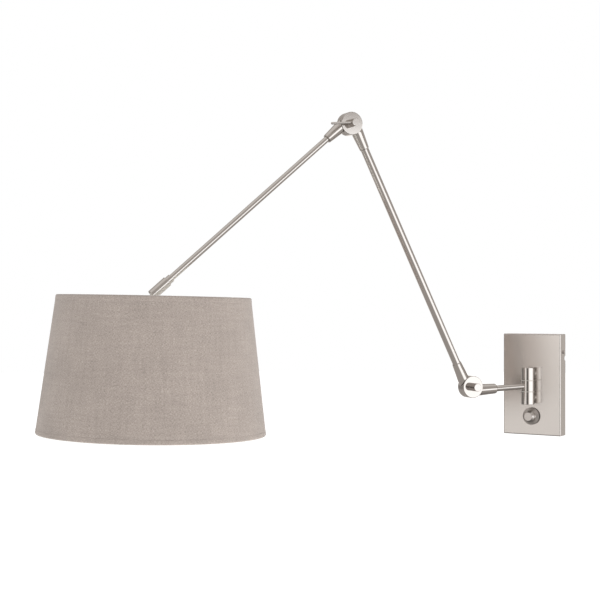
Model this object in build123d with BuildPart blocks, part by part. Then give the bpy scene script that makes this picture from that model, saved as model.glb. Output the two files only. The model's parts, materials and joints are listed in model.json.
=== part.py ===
from build123d import *
from math import asin, cos, degrees, radians, sin, sqrt
import os

os.makedirs("parts", exist_ok=True)

# Swing-arm wall lamp, in millimetres. X runs across the wall, Y into the wall and Z up.
# The origin is the middle of the face that lies on the wall.

# ---------------------------------------------------------------- driving dimensions
# Wall cover and what is behind it
PLATE_WIDTH = 90
PLATE_HEIGHT = 150
PLATE_DEPTH = 20
PLATE_WALL = 1.5
PLATE_EDGE = 1.5
PLATE_CORNER = 1
SIDE_NOTCH_D = 7.3
SIDE_NOTCH_Z = 39.2
BRACKET_HEIGHT = 120
BRACKET_WALL = 1.5
BRACKET_PLAY = 0.1
FIXING_SPACING_X = 60
FIXING_SPACING_Z = 100
FIXING_HOLE_D = 5.5
CABLE_ENTRY_D = 18
CABLE_ENTRY_Z = 27
TAB_HEIGHT = 12
TAB_DEPTH = 13
COVER_SCREW_Z = 48.6
COVER_SCREW_FROM_WALL = 7.6
COVER_SCREW_D = 3.5
COVER_SCREW_HEAD_D = 5
BACKING_WALL = 2
BACKING_WIDTH = 56
BACKING_LOW = -66
BACKING_HIGH = 34
EARTH_X = -34
EARTH_Z = 20

# Vertical hinge on the cover
BARREL_D = 19.4
BARREL_STANDOFF = 15
BARREL_BREAK = 0.3
HINGE_DROP = 1.5
SWING_HEIGHT = 16
KNUCKLE_HEIGHT = 18.6
HINGE_WASHER = 0.4
HINGE_PIN_D = 10
HINGE_PIN_LENGTH = 12
HINGE_PIN_REACH = 5.1
HINGE_BORE_DEPTH = 13.3
SPIGOT_D = 10
SPIGOT_FROM_WALL = 12
SPIGOT_BORE_D = 4.4
SPIGOT_NUT_FLATS = 14
SPIGOT_NUT_HEIGHT = 3
RUNNING_PLAY = 0.1

# Dimmer and its knob
DIMMER_Z = -47
DIMMER_SIDE = 24
DIMMER_FROM_WALL = 4.5
DIMMER_DEPTH = 12
DIMMER_WALL = 2
DIMMER_BUSHING_D = 7
DIMMER_BUSHING_END = 2.6
DIMMER_SHAFT_D = 6
KNOB_D = 25.5
KNOB_STEP_D = 17.5
KNOB_TOP_D = 12.3
KNOB_HEIGHT = 14
KNOB_GAP = 1.6

# Terminal block
TERMINAL_WIDTH = 26
TERMINAL_HEIGHT = 14
TERMINAL_DEPTH = 13
TERMINAL_Z = 48
TERMINAL_PITCH = 8
TERMINAL_SCREW_PITCH = 7

# Arms, from pin to pin: swing angle from straight out, and slopes above level, at rest
SWING_ANGLE = 35
SWING_LENGTH = 96.8
SWING_SLOPE = 0.8
LOWER_ARM_LENGTH = 417.5
LOWER_ARM_SLOPE = 62.6
UPPER_ARM_LENGTH = 367
UPPER_ARM_SLOPE = -40
SWING_ROD_D = 8.8
SWING_ROD_BORE_D = 4
LOWER_TUBE_D = 11.5
UPPER_TUBE_D = 8.5
TUBE_WALL = 1

# Elbows: two half-thickness discs lapped on a bolt, each neck set off to the outside of the bend
EYE_D = 32
EYE_HALF = 8.5
NECK_OFFSET = 5.5
EYE_EDGE = 0.8
EYE_LAP = 0.5
EYE_CLEARANCE = 0.6
NECK_LENGTH = 41
NECK_ROOT_D = 16.8
SOCKET_DEPTH = 12
NECK_BORE_D = 7.6
WIRE_OFFSET = 2.4
WIRE_PASSAGE_D = 3.2
WIRE_POCKET_OUTER_D = 24
WIRE_POCKET_INNER_D = 15
WIRE_POCKET_DEPTH = 4.2
BOLT_D = 8
BOLT_HEAD_D = 11.5
BOLT_HEAD_HEIGHT = 13.1
NUT_RECESS_D = 17
NUT_RECESS_DEPTH = 3
SPRING_WASHER = 0.8
NUT_FLATS = 13
NUT_HEIGHT = 6
NUT_DOME = 3
CLAMP_WASHER = 0.6
LEVER_D = 3.4
LEVER_REACH = 36
LEVER_SLOPE = -5
LEVER_HEIGHT = 8

# Head: sleeve on the arm's end, tongue, lampholder and bulb
SLEEVE_D = 14
SLEEVE_BACK = 23.3
SLEEVE_FRONT = 4.5
SLEEVE_CUT = 3
COLLAR_D = 11
COLLAR_LENGTH = 7
SLOT_WIDTH = 5.3
SLOT_BACK = 9
SLOT_TOP = 6
TONGUE_WIDTH = 10.8
TONGUE_THICKNESS = 5
HEAD_PIN_D = 4
HEAD_TILT = 1.2
STEM_D = 10
FLEX_D = 2.6

# Shade
SHADE_TOP_D = 254
SHADE_BOTTOM_D = 300
SHADE_HEIGHT = 180
SHADE_DROP = 4.2
FABRIC = 1
LINER = 0.8
RIM_WIRE_D = 3
SPOKE_COUNT = 3
SPOKE_D = 2.6
SPOKE_BEND_R = 14

# ---------------------------------------------------------------- derived places
HINGE_Y = -(PLATE_DEPTH + BARREL_STANDOFF)
HINGE_Z = -HINGE_DROP
swing_top = HINGE_Z + SWING_HEIGHT / 2
swing_foot = HINGE_Z - SWING_HEIGHT / 2
upper_foot = swing_top + HINGE_WASHER
lower_top = swing_foot - HINGE_WASHER
spigot_up = upper_foot + KNUCKLE_HEIGHT / 2
spigot_down = lower_top - KNUCKLE_HEIGHT / 2
backing_face = PLATE_DEPTH - PLATE_WALL - BACKING_WALL

# The arms' own plane: x points back to the wall, y up, z along the elbow pins
outward = Vector(-sin(radians(SWING_ANGLE)), -cos(radians(SWING_ANGLE)), 0)
pin_direction = Vector(cos(radians(SWING_ANGLE)), -sin(radians(SWING_ANGLE)), 0)
ARMS = Plane(origin=(0, HINGE_Y, HINGE_Z), x_dir=-outward, z_dir=pin_direction)


def reach(start, length, slope):
    """Point at the outer end of an arm that leaves start, sloping up from level by slope degrees."""
    return start + Vector(-cos(radians(slope)), sin(radians(slope)), 0) * length


hinge_point = Vector(0, 0, 0)
lower_elbow = reach(hinge_point, SWING_LENGTH, SWING_SLOPE)
upper_elbow = reach(lower_elbow, LOWER_ARM_LENGTH, LOWER_ARM_SLOPE)
head_pivot = reach(upper_elbow, UPPER_ARM_LENGTH, UPPER_ARM_SLOPE)


def link(joint, angle):
    """Plane of a link: x leaves the joint at angle degrees from ARMS.x_dir, z is the pin."""
    direction = ARMS.x_dir * cos(radians(angle)) + ARMS.y_dir * sin(radians(angle))
    return Plane(origin=ARMS.from_local_coords(joint), x_dir=direction, z_dir=ARMS.z_dir)


def set_off(plane, offset):
    """The link's plane moved along its y by an offset, so that its x runs down the neck's middle."""
    origin = plane.from_local_coords(Vector(0, offset, 0))
    return Plane(origin=origin, x_dir=plane.x_dir, z_dir=plane.z_dir)


def across(plane, distance):
    """Plane square to the link's x at a distance from its joint; its y is the pin's direction."""
    centre = plane.from_local_coords(Vector(distance, 0, 0))
    return Plane(origin=centre, x_dir=plane.y_dir, z_dir=plane.x_dir)


def beside(plane, side):
    """Plane holding the link's x and its pin: x along the link, y to that side along the pin."""
    return Plane(origin=plane.origin, x_dir=plane.x_dir, z_dir=plane.y_dir * -side)


# Each tube passes its elbow pins at the necks' offset, so its slope differs a little from pin to pin
swing_pitch = SWING_SLOPE - degrees(asin(NECK_OFFSET / SWING_LENGTH))
lower_pitch = LOWER_ARM_SLOPE + degrees(asin(2 * NECK_OFFSET / LOWER_ARM_LENGTH))
upper_pitch = UPPER_ARM_SLOPE - degrees(asin(NECK_OFFSET / UPPER_ARM_LENGTH))
swing_run = sqrt(SWING_LENGTH**2 - NECK_OFFSET**2)
lower_run = sqrt(LOWER_ARM_LENGTH**2 - (2 * NECK_OFFSET) ** 2)
upper_run = sqrt(UPPER_ARM_LENGTH**2 - NECK_OFFSET**2)

swing_link = link(hinge_point, 180 - swing_pitch)
swing_eye_link = link(lower_elbow, -swing_pitch)
lower_base_link = link(lower_elbow, 180 - lower_pitch)
lower_top_link = link(upper_elbow, -lower_pitch)
upper_link = link(upper_elbow, 180 - upper_pitch)
swing_neck = set_off(swing_eye_link, -NECK_OFFSET)
lower_neck = set_off(lower_base_link, NECK_OFFSET)
upper_neck = set_off(upper_link, -NECK_OFFSET)
clamp_link = link(upper_elbow, 180 - LEVER_SLOPE)
NEAR = 1
FAR = -1

# The head's own plane: x level with the shade's rim, y up its axis, z along the tilt pin
HEAD = link(head_pivot, -HEAD_TILT)
head_axis = Axis(HEAD.origin, HEAD.y_dir)


# ---------------------------------------------------------------- wall unit
with BuildPart() as wall_cover:
    with BuildSketch(Plane.XZ):
        Rectangle(PLATE_WIDTH, PLATE_HEIGHT)
    extrude(amount=PLATE_DEPTH)
    fillet(wall_cover.edges().filter_by(Axis.Y), PLATE_CORNER)
    fillet(wall_cover.faces().sort_by(Axis.Y)[0].edges(), PLATE_EDGE)
    with BuildSketch(Plane.XZ):
        Rectangle(PLATE_WIDTH - 2 * PLATE_WALL, PLATE_HEIGHT - 2 * PLATE_WALL)
    extrude(amount=PLATE_DEPTH - PLATE_WALL, mode=Mode.SUBTRACT)
    with BuildSketch(Plane.XZ.offset(backing_face)):
        with Locations((0, spigot_up), (0, spigot_down)):
            Circle(SPIGOT_D / 2 + RUNNING_PLAY)
        with Locations((0, DIMMER_Z)):
            Circle(DIMMER_BUSHING_D / 2 + RUNNING_PLAY)
    extrude(amount=PLATE_DEPTH, mode=Mode.SUBTRACT)
    with BuildSketch(Plane.YZ):
        with Locations((-COVER_SCREW_FROM_WALL, COVER_SCREW_Z)):
            Circle(COVER_SCREW_D / 2 + RUNNING_PLAY)
    extrude(amount=PLATE_WIDTH, both=True, mode=Mode.SUBTRACT)
    with BuildSketch(Plane.YZ):
        with Locations((0, SIDE_NOTCH_Z)):
            Circle(SIDE_NOTCH_D / 2)
    extrude(amount=PLATE_WIDTH, mode=Mode.SUBTRACT)
wall_cover.part.label = "wall_cover"
export_step(wall_cover.part, "parts/wall_cover.step")

bracket_half = PLATE_WIDTH / 2 - PLATE_WALL - BRACKET_PLAY
with BuildPart() as mounting_bracket:
    with BuildSketch(Plane.XZ):
        Rectangle(2 * bracket_half, BRACKET_HEIGHT)
        with GridLocations(FIXING_SPACING_X, FIXING_SPACING_Z, 2, 2):
            Circle(FIXING_HOLE_D / 2, mode=Mode.SUBTRACT)
        with Locations((0, CABLE_ENTRY_Z)):
            Circle(CABLE_ENTRY_D / 2, mode=Mode.SUBTRACT)
    extrude(amount=BRACKET_WALL)
    with BuildSketch(Plane.XZ):
        with Locations((0, COVER_SCREW_Z)):
            Rectangle(2 * bracket_half, TAB_HEIGHT)
            Rectangle(2 * (bracket_half - BRACKET_WALL), TAB_HEIGHT, mode=Mode.SUBTRACT)
    extrude(amount=TAB_DEPTH)
    with BuildSketch(Plane.YZ):
        with Locations((-COVER_SCREW_FROM_WALL, COVER_SCREW_Z)):
            Circle(COVER_SCREW_D / 2)
    extrude(amount=PLATE_WIDTH, both=True, mode=Mode.SUBTRACT)
    with BuildSketch(Plane.YZ):
        with Locations((0, SIDE_NOTCH_Z)):
            Circle(SIDE_NOTCH_D / 2)
    extrude(amount=PLATE_WIDTH, mode=Mode.SUBTRACT)
mounting_bracket.part.label = "mounting_bracket"
export_step(mounting_bracket.part, "parts/mounting_bracket.step")

screw_head_height = 1.6
screw_grip = 6
slot_width = 0.9
with BuildPart() as cover_screws:
    for side in (1, -1):
        screw_plane = Plane(
            origin=(side * PLATE_WIDTH / 2, -COVER_SCREW_FROM_WALL, COVER_SCREW_Z),
            x_dir=(0, 1, 0),
            z_dir=(side, 0, 0),
        )
        with BuildSketch(screw_plane):
            Circle(COVER_SCREW_HEAD_D / 2)
        extrude(amount=screw_head_height)
        with BuildSketch(screw_plane):
            Circle(COVER_SCREW_D / 2)
        extrude(amount=-screw_grip)
        with BuildSketch(screw_plane.offset(screw_head_height)):
            Rectangle(COVER_SCREW_HEAD_D, slot_width)
        extrude(amount=-screw_head_height / 2, mode=Mode.SUBTRACT)
cover_screws.part.label = "cover_screws"
export_step(cover_screws.part, "parts/cover_screws.step")

with BuildPart() as backing_plate:
    with BuildSketch(Plane.XZ.offset(backing_face)):
        with Locations((0, (BACKING_LOW + BACKING_HIGH) / 2)):
            Rectangle(BACKING_WIDTH, BACKING_HIGH - BACKING_LOW)
        with Locations((0, spigot_up), (0, spigot_down)):
            Circle(SPIGOT_D / 2 + RUNNING_PLAY, mode=Mode.SUBTRACT)
        with Locations((0, DIMMER_Z)):
            Circle(DIMMER_BUSHING_D / 2 + RUNNING_PLAY, mode=Mode.SUBTRACT)
    extrude(amount=BACKING_WALL)
    fillet(backing_plate.edges().filter_by(Axis.Y).group_by(Axis.X)[0], PLATE_EDGE)
    fillet(backing_plate.edges().filter_by(Axis.Y).group_by(Axis.X)[-1], PLATE_EDGE)
backing_plate.part.label = "backing_plate"
export_step(backing_plate.part, "parts/backing_plate.step")

earth_washer = 1
earth_screw_height = 4
with BuildPart() as earth_screw:
    with BuildSketch(Plane.XZ.offset(BRACKET_WALL)):
        with Locations((EARTH_X, EARTH_Z)):
            Circle(4.5)
    extrude(amount=earth_washer)
    with BuildSketch(Plane.XZ.offset(BRACKET_WALL + earth_washer)):
        with Locations((EARTH_X, EARTH_Z)):
            Circle(3.5)
    extrude(amount=earth_screw_height)
    with BuildSketch(Plane.XZ.offset(BRACKET_WALL + earth_washer + earth_screw_height)):
        with Locations((EARTH_X, EARTH_Z)):
            Rectangle(2 * 3.5, slot_width)
    extrude(amount=-earth_screw_height / 3, mode=Mode.SUBTRACT)
earth_screw.part.label = "earth_screw"
export_step(earth_screw.part, "parts/earth_screw.step")


# ---------------------------------------------------------------- vertical hinge
def fixed_knuckle(foot, up):
    """Outer knuckle: a capped barrel with a pin bore and a hollow spigot through the cover."""
    inner_end = Plane(origin=(0, HINGE_Y, foot), z_dir=(0, 0, up))
    with BuildPart() as knuckle:
        with BuildSketch(inner_end):
            Circle(BARREL_D / 2)
        extrude(amount=KNUCKLE_HEIGHT)
        chamfer(knuckle.edges().filter_by(GeomType.CIRCLE), BARREL_BREAK)
        with BuildSketch(Plane.XZ.offset(SPIGOT_FROM_WALL)):
            with Locations((0, foot + up * KNUCKLE_HEIGHT / 2)):
                Circle(SPIGOT_D / 2)
        extrude(amount=-HINGE_Y - SPIGOT_FROM_WALL - HINGE_PIN_D / 2)
        with BuildSketch(inner_end):
            Circle(HINGE_PIN_D / 2)
        extrude(amount=HINGE_BORE_DEPTH, mode=Mode.SUBTRACT)
        with BuildSketch(Plane.XZ.offset(SPIGOT_FROM_WALL)):
            with Locations((0, foot + up * KNUCKLE_HEIGHT / 2)):
                Circle(SPIGOT_BORE_D / 2)
        extrude(amount=-HINGE_Y - SPIGOT_FROM_WALL, mode=Mode.SUBTRACT)
    return knuckle


upper_knuckle = fixed_knuckle(upper_foot, 1)
upper_knuckle.part.label = "upper_knuckle"
export_step(upper_knuckle.part, "parts/upper_knuckle.step")

lower_knuckle = fixed_knuckle(lower_top, -1)
lower_knuckle.part.label = "lower_knuckle"
export_step(lower_knuckle.part, "parts/lower_knuckle.step")

with BuildPart() as knuckle_nuts:
    with BuildSketch(Plane.XZ.offset(backing_face)):
        with Locations((0, spigot_up), (0, spigot_down)):
            RegularPolygon(SPIGOT_NUT_FLATS / 2, 6, major_radius=False)
            Circle(SPIGOT_D / 2, mode=Mode.SUBTRACT)
    extrude(amount=-SPIGOT_NUT_HEIGHT)
knuckle_nuts.part.label = "knuckle_nuts"
export_step(knuckle_nuts.part, "parts/knuckle_nuts.step")

with BuildPart() as hinge_pins:
    for inner_end, outward_sign in (
        (swing_top - HINGE_PIN_REACH, 1),
        (swing_foot + HINGE_PIN_REACH, -1),
    ):
        with BuildSketch(Plane.XY.offset(inner_end)):
            with Locations((0, HINGE_Y)):
                Circle(HINGE_PIN_D / 2)
                Circle(SPIGOT_BORE_D / 2, mode=Mode.SUBTRACT)
        extrude(amount=outward_sign * HINGE_PIN_LENGTH)
hinge_pins.part.label = "hinge_pins"
export_step(hinge_pins.part, "parts/hinge_pins.step")

with BuildPart() as hinge_washers:
    for foot in (swing_top, lower_top):
        with BuildSketch(Plane.XY.offset(foot)):
            with Locations((0, HINGE_Y)):
                Circle(BARREL_D / 2 - BARREL_BREAK)
                Circle(HINGE_PIN_D / 2 + RUNNING_PLAY, mode=Mode.SUBTRACT)
        extrude(amount=HINGE_WASHER)
hinge_washers.part.label = "hinge_washers"
export_step(hinge_washers.part, "parts/hinge_washers.step")

swing_chamber_d = 7
swing_rod_start = 6
with BuildPart() as swing_knuckle:
    with BuildSketch(Plane.XY.offset(swing_foot)):
        with Locations((0, HINGE_Y)):
            Circle(BARREL_D / 2)
            Circle(swing_chamber_d / 2, mode=Mode.SUBTRACT)
    extrude(amount=SWING_HEIGHT)
    outer_rims = swing_knuckle.edges().filter_by(GeomType.CIRCLE).sort_by(SortBy.LENGTH)[-2:]
    chamfer(outer_rims, BARREL_BREAK)
    for end, inward in ((swing_foot, 1), (swing_top, -1)):
        with BuildSketch(Plane.XY.offset(end)):
            with Locations((0, HINGE_Y)):
                Circle((HINGE_PIN_D + RUNNING_PLAY) / 2)
        extrude(amount=inward * (HINGE_PIN_REACH + RUNNING_PLAY), mode=Mode.SUBTRACT)
    with BuildSketch(across(swing_link, swing_rod_start)):
        Circle(SWING_ROD_D / 2)
    extrude(amount=BARREL_D, mode=Mode.SUBTRACT)
    with BuildSketch(across(swing_link, 0)):
        Circle(SWING_ROD_BORE_D / 2)
    extrude(amount=BARREL_D, mode=Mode.SUBTRACT)
swing_knuckle.part.label = "swing_knuckle"
export_step(swing_knuckle.part, "parts/swing_knuckle.step")


# ---------------------------------------------------------------- dimmer
dimmer_face = DIMMER_FROM_WALL + DIMMER_DEPTH
with BuildPart() as dimmer_body:
    with BuildSketch(Plane.XZ.offset(DIMMER_FROM_WALL)):
        with Locations((0, DIMMER_Z)):
            RectangleRounded(DIMMER_SIDE, DIMMER_SIDE, PLATE_CORNER)
    extrude(amount=DIMMER_DEPTH)
    with BuildSketch(Plane.XZ.offset(DIMMER_FROM_WALL)):
        with Locations((0, DIMMER_Z)):
            Rectangle(DIMMER_SIDE - 2 * DIMMER_WALL, DIMMER_SIDE - 2 * DIMMER_WALL)
    extrude(amount=DIMMER_DEPTH - DIMMER_WALL, mode=Mode.SUBTRACT)
    with BuildSketch(Plane.XZ.offset(dimmer_face)):
        with Locations((0, DIMMER_Z)):
            Circle(DIMMER_BUSHING_D / 2)
    extrude(amount=PLATE_DEPTH + DIMMER_BUSHING_END - dimmer_face)
    with BuildSketch(Plane.XZ.offset(DIMMER_FROM_WALL)):
        with Locations((0, DIMMER_Z)):
            Circle((DIMMER_SHAFT_D + RUNNING_PLAY) / 2)
    extrude(amount=PLATE_DEPTH, mode=Mode.SUBTRACT)
dimmer_body.part.label = "dimmer_body"
export_step(dimmer_body.part, "parts/dimmer_body.step")

dimmer_back_wall = 1.5
with BuildPart() as dimmer_back:
    with BuildSketch(Plane.XZ.offset(DIMMER_FROM_WALL)):
        with Locations((0, DIMMER_Z)):
            Rectangle(DIMMER_SIDE - 2 * DIMMER_WALL, DIMMER_SIDE - 2 * DIMMER_WALL)
    extrude(amount=dimmer_back_wall)
dimmer_back.part.label = "dimmer_back"
export_step(dimmer_back.part, "parts/dimmer_back.step")

dimmer_nut_flats = 10
dimmer_nut_height = 2
with BuildPart() as dimmer_nut:
    with BuildSketch(Plane.XZ.offset(PLATE_DEPTH)):
        with Locations((0, DIMMER_Z)):
            RegularPolygon(dimmer_nut_flats / 2, 6, major_radius=False)
            Circle(DIMMER_BUSHING_D / 2, mode=Mode.SUBTRACT)
    extrude(amount=dimmer_nut_height)
dimmer_nut.part.label = "dimmer_nut"
export_step(dimmer_nut.part, "parts/dimmer_nut.step")

plunger_side = 12
plunger_foot = 10
plunger_height = 3
with BuildPart() as dimmer_plunger:
    with BuildSketch(Plane.XZ.offset(plunger_foot)):
        with Locations((0, DIMMER_Z)):
            Rectangle(plunger_side, plunger_side)
            Circle((DIMMER_SHAFT_D + RUNNING_PLAY) / 2, mode=Mode.SUBTRACT)
    extrude(amount=plunger_height)
dimmer_plunger.part.label = "dimmer_plunger"
export_step(dimmer_plunger.part, "parts/dimmer_plunger.step")

shaft_collar_d = 8
shaft_collar = 0.7
shaft_tail = 8.5
knob_bore_end = 2.5
shaft_tip = PLATE_DEPTH + KNOB_HEIGHT - knob_bore_end
with BuildPart() as dimmer_shaft:
    with BuildSketch(Plane.XZ.offset(shaft_tail)):
        with Locations((0, DIMMER_Z)):
            Circle(DIMMER_SHAFT_D / 2)
    extrude(amount=shaft_tip - shaft_tail)
    for collar_foot in (plunger_foot - shaft_collar, plunger_foot + plunger_height):
        with BuildSketch(Plane.XZ.offset(collar_foot)):
            with Locations((0, DIMMER_Z)):
                Circle(shaft_collar_d / 2)
        extrude(amount=shaft_collar)
dimmer_shaft.part.label = "dimmer_shaft"
export_step(dimmer_shaft.part, "parts/dimmer_shaft.step")

knob_plane = Plane(origin=(0, -PLATE_DEPTH, DIMMER_Z), x_dir=(1, 0, 0), z_dir=(0, 0, -1))
knob_hollow_r = 8
knob_hollow_top = 5
with BuildPart() as dimmer_knob:
    with BuildSketch(knob_plane):
        with BuildLine():
            Polyline(
                (0, KNOB_HEIGHT),
                (KNOB_TOP_D / 2, KNOB_HEIGHT),
                (KNOB_STEP_D / 2, KNOB_HEIGHT - 2.8),
                (KNOB_STEP_D / 2, KNOB_GAP + 3.2),
                (KNOB_D / 2, KNOB_GAP + 1.3),
                (KNOB_D / 2, KNOB_GAP),
                (knob_hollow_r, KNOB_GAP),
                (knob_hollow_r, knob_hollow_top),
                (DIMMER_SHAFT_D / 2, knob_hollow_top),
                (DIMMER_SHAFT_D / 2, KNOB_HEIGHT - knob_bore_end),
                (0, KNOB_HEIGHT - knob_bore_end),
                close=True,
            )
        make_face()
    revolve(axis=Axis((0, 0, DIMMER_Z), (0, -1, 0)))
    rims = dimmer_knob.edges().filter_by(GeomType.CIRCLE).group_by(Axis.Y)
    fillet(rims[0], 0.5)
dimmer_knob.part.label = "dimmer_knob"
export_step(dimmer_knob.part, "parts/dimmer_knob.step")

# ---------------------------------------------------------------- terminal block
insert_d = 5
wire_hole_d = 3.2
terminal_screw_d = 3
terminal_middle = BRACKET_WALL + TERMINAL_DEPTH / 2
insert_length = TERMINAL_HEIGHT - 2
terminal_face = BRACKET_WALL + TERMINAL_DEPTH
with BuildPart() as terminal_block:
    with BuildSketch(Plane.XZ.offset(BRACKET_WALL)):
        with Locations((0, TERMINAL_Z)):
            RectangleRounded(TERMINAL_WIDTH, TERMINAL_HEIGHT, PLATE_CORNER)
    extrude(amount=TERMINAL_DEPTH)
    with BuildSketch(Plane.XY.offset(TERMINAL_Z)):
        with Locations((0, -terminal_middle)):
            with GridLocations(TERMINAL_PITCH, 0, 3, 1):
                Circle(insert_d / 2)
    extrude(amount=TERMINAL_HEIGHT, both=True, mode=Mode.SUBTRACT)
    with BuildSketch(Plane.XZ.offset(terminal_middle)):
        with Locations((0, TERMINAL_Z)):
            with GridLocations(TERMINAL_PITCH, TERMINAL_SCREW_PITCH, 3, 2):
                Circle(terminal_screw_d / 2)
    extrude(amount=TERMINAL_DEPTH, mode=Mode.SUBTRACT)
terminal_block.part.label = "terminal_block"
export_step(terminal_block.part, "parts/terminal_block.step")

with BuildPart() as terminal_inserts:
    with BuildSketch(Plane.XY.offset(TERMINAL_Z)):
        with Locations((0, -terminal_middle)):
            with GridLocations(TERMINAL_PITCH, 0, 3, 1):
                Circle(insert_d / 2)
                Circle(wire_hole_d / 2, mode=Mode.SUBTRACT)
    extrude(amount=insert_length / 2, both=True)
    with BuildSketch(Plane.XZ.offset(terminal_middle)):
        with Locations((0, TERMINAL_Z)):
            with GridLocations(TERMINAL_PITCH, TERMINAL_SCREW_PITCH, 3, 2):
                Circle(terminal_screw_d / 2)
    extrude(amount=TERMINAL_DEPTH, mode=Mode.SUBTRACT)
terminal_inserts.part.label = "terminal_inserts"
export_step(terminal_inserts.part, "parts/terminal_inserts.step")

terminal_screw_foot = terminal_middle + wire_hole_d / 2
with BuildPart() as terminal_screws:
    with BuildSketch(Plane.XZ.offset(terminal_screw_foot)):
        with Locations((0, TERMINAL_Z)):
            with GridLocations(TERMINAL_PITCH, TERMINAL_SCREW_PITCH, 3, 2):
                Circle(terminal_screw_d / 2)
    extrude(amount=terminal_face - terminal_screw_foot - 1)
terminal_screws.part.label = "terminal_screws"
export_step(terminal_screws.part, "parts/terminal_screws.step")


# ---------------------------------------------------------------- elbows and arms
def elbow_eye(plane, offset, side, end_d, socket_d, recessed):
    """One half of an elbow: a disc on one side of the lap, with a round neck that takes a tube."""
    neck = set_off(plane, offset)
    inner_face = plane.offset(side * EYE_LAP / 2)
    socket_start = NECK_LENGTH - SOCKET_DEPTH
    with BuildPart() as eye:
        with BuildSketch(neck):
            with BuildLine():
                Polyline(
                    (0, 0),
                    (0, NECK_ROOT_D / 2),
                    (EYE_D / 2, NECK_ROOT_D / 2),
                    (NECK_LENGTH - EYE_EDGE, end_d / 2),
                    (NECK_LENGTH, end_d / 2 - EYE_EDGE / 2),
                    (NECK_LENGTH, 0),
                    close=True,
                )
            make_face()
        revolve(axis=Axis(neck.origin, neck.x_dir))
        with BuildSketch(beside(plane, side)) as half_disc:
            with Locations((EYE_D / 4, EYE_LAP / 4 + EYE_HALF / 2)):
                Rectangle(EYE_D / 2, EYE_HALF - EYE_LAP / 2)
            fillet(half_disc.vertices().group_by(Axis.Y)[-1].sort_by(Axis.X)[-1], EYE_EDGE)
        revolve(axis=Axis(plane.origin, plane.z_dir))
        with BuildSketch(inner_face):
            Circle(EYE_D / 2 + EYE_CLEARANCE)
        extrude(amount=-side * EYE_D, mode=Mode.SUBTRACT)
        with BuildSketch(inner_face):
            Circle(WIRE_POCKET_OUTER_D / 2)
            Circle(WIRE_POCKET_INNER_D / 2, mode=Mode.SUBTRACT)
        extrude(amount=side * (WIRE_POCKET_DEPTH - EYE_LAP / 2), mode=Mode.SUBTRACT)
        with BuildSketch(plane):
            Circle((BOLT_D + RUNNING_PLAY) / 2)
        extrude(amount=EYE_D, both=True, mode=Mode.SUBTRACT)
        with BuildSketch(across(neck, WIRE_POCKET_INNER_D / 2)):
            with Locations((0, side * WIRE_OFFSET)):
                Circle(WIRE_PASSAGE_D / 2)
        extrude(amount=socket_start - WIRE_POCKET_INNER_D, mode=Mode.SUBTRACT)
        with BuildSketch(across(neck, EYE_D / 2 + 2)):
            Circle(NECK_BORE_D / 2)
        extrude(amount=NECK_LENGTH, mode=Mode.SUBTRACT)
        with BuildSketch(across(neck, socket_start)):
            Circle(socket_d / 2)
        extrude(amount=NECK_LENGTH, mode=Mode.SUBTRACT)
        if recessed:
            with BuildSketch(plane.offset(side * EYE_HALF)):
                Circle(NUT_RECESS_D / 2)
            extrude(amount=-side * NUT_RECESS_DEPTH, mode=Mode.SUBTRACT)
    return eye


def tube(plane, start, end, outer_d, inner_d):
    """A round tube along the link's x."""
    with BuildPart() as pipe:
        with BuildSketch(across(plane, start)):
            Circle(outer_d / 2)
            Circle(inner_d / 2, mode=Mode.SUBTRACT)
        extrude(amount=end - start)
    return pipe


def washer(plane, foot, height, outer_d, inner_d):
    """A flat ring on the pin, from foot to foot + height along the pin."""
    with BuildPart() as ring:
        with BuildSketch(plane.offset(foot)):
            Circle(outer_d / 2)
            Circle(inner_d / 2, mode=Mode.SUBTRACT)
        extrude(amount=height)
    return ring


def cap_nut(plane, thread_d):
    """A hexagon nut with a domed cap, in the far disc's recess."""
    seat = -(EYE_HALF - NUT_RECESS_DEPTH + 2 * SPRING_WASHER)
    with BuildPart() as nut:
        with BuildSketch(plane.offset(seat)):
            RegularPolygon(NUT_FLATS / 2, 6, major_radius=False)
        extrude(amount=-NUT_HEIGHT)
        with BuildSketch(plane.offset(seat - NUT_HEIGHT)):
            Circle(NUT_FLATS / 2)
        extrude(amount=-NUT_DOME, taper=40)
        with BuildSketch(plane.offset(seat)):
            Circle(thread_d / 2)
        extrude(amount=-NUT_HEIGHT, mode=Mode.SUBTRACT)
    return nut


def elbow_bolt(plane, seat):
    """A bolt with a tall plain head whose underside is at seat along the pin."""
    tail = -(EYE_HALF - NUT_RECESS_DEPTH + 2 * SPRING_WASHER + NUT_HEIGHT - 0.5)
    with BuildPart() as bolt:
        with BuildSketch(plane.offset(seat)):
            Circle(BOLT_HEAD_D / 2)
        extrude(amount=BOLT_HEAD_HEIGHT)
        crown = bolt.edges().filter_by(GeomType.CIRCLE).sort_by(Axis(plane.origin, plane.z_dir))
        fillet(crown[-1], EYE_LAP)
        with BuildSketch(plane.offset(tail)):
            Circle(BOLT_D / 2)
        extrude(amount=seat - tail)
    return bolt


socket_foot = NECK_LENGTH - SOCKET_DEPTH
recess_floor = -(EYE_HALF - NUT_RECESS_DEPTH)
spring_pack = -2 * SPRING_WASHER
ring_outer_d = EYE_D - 1
ring_inner_d = WIRE_POCKET_OUTER_D + 1

with BuildPart() as swing_rod:
    with BuildSketch(across(swing_link, swing_rod_start)):
        Circle(SWING_ROD_D / 2)
        Circle(SWING_ROD_BORE_D / 2, mode=Mode.SUBTRACT)
    extrude(amount=swing_run - socket_foot - swing_rod_start)
swing_rod.part.label = "swing_rod"
export_step(swing_rod.part, "parts/swing_rod.step")

swing_eye = elbow_eye(swing_eye_link, -NECK_OFFSET, NEAR, 14.6, SWING_ROD_D, False)
swing_eye.part.label = "swing_eye"
export_step(swing_eye.part, "parts/swing_eye.step")

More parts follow.
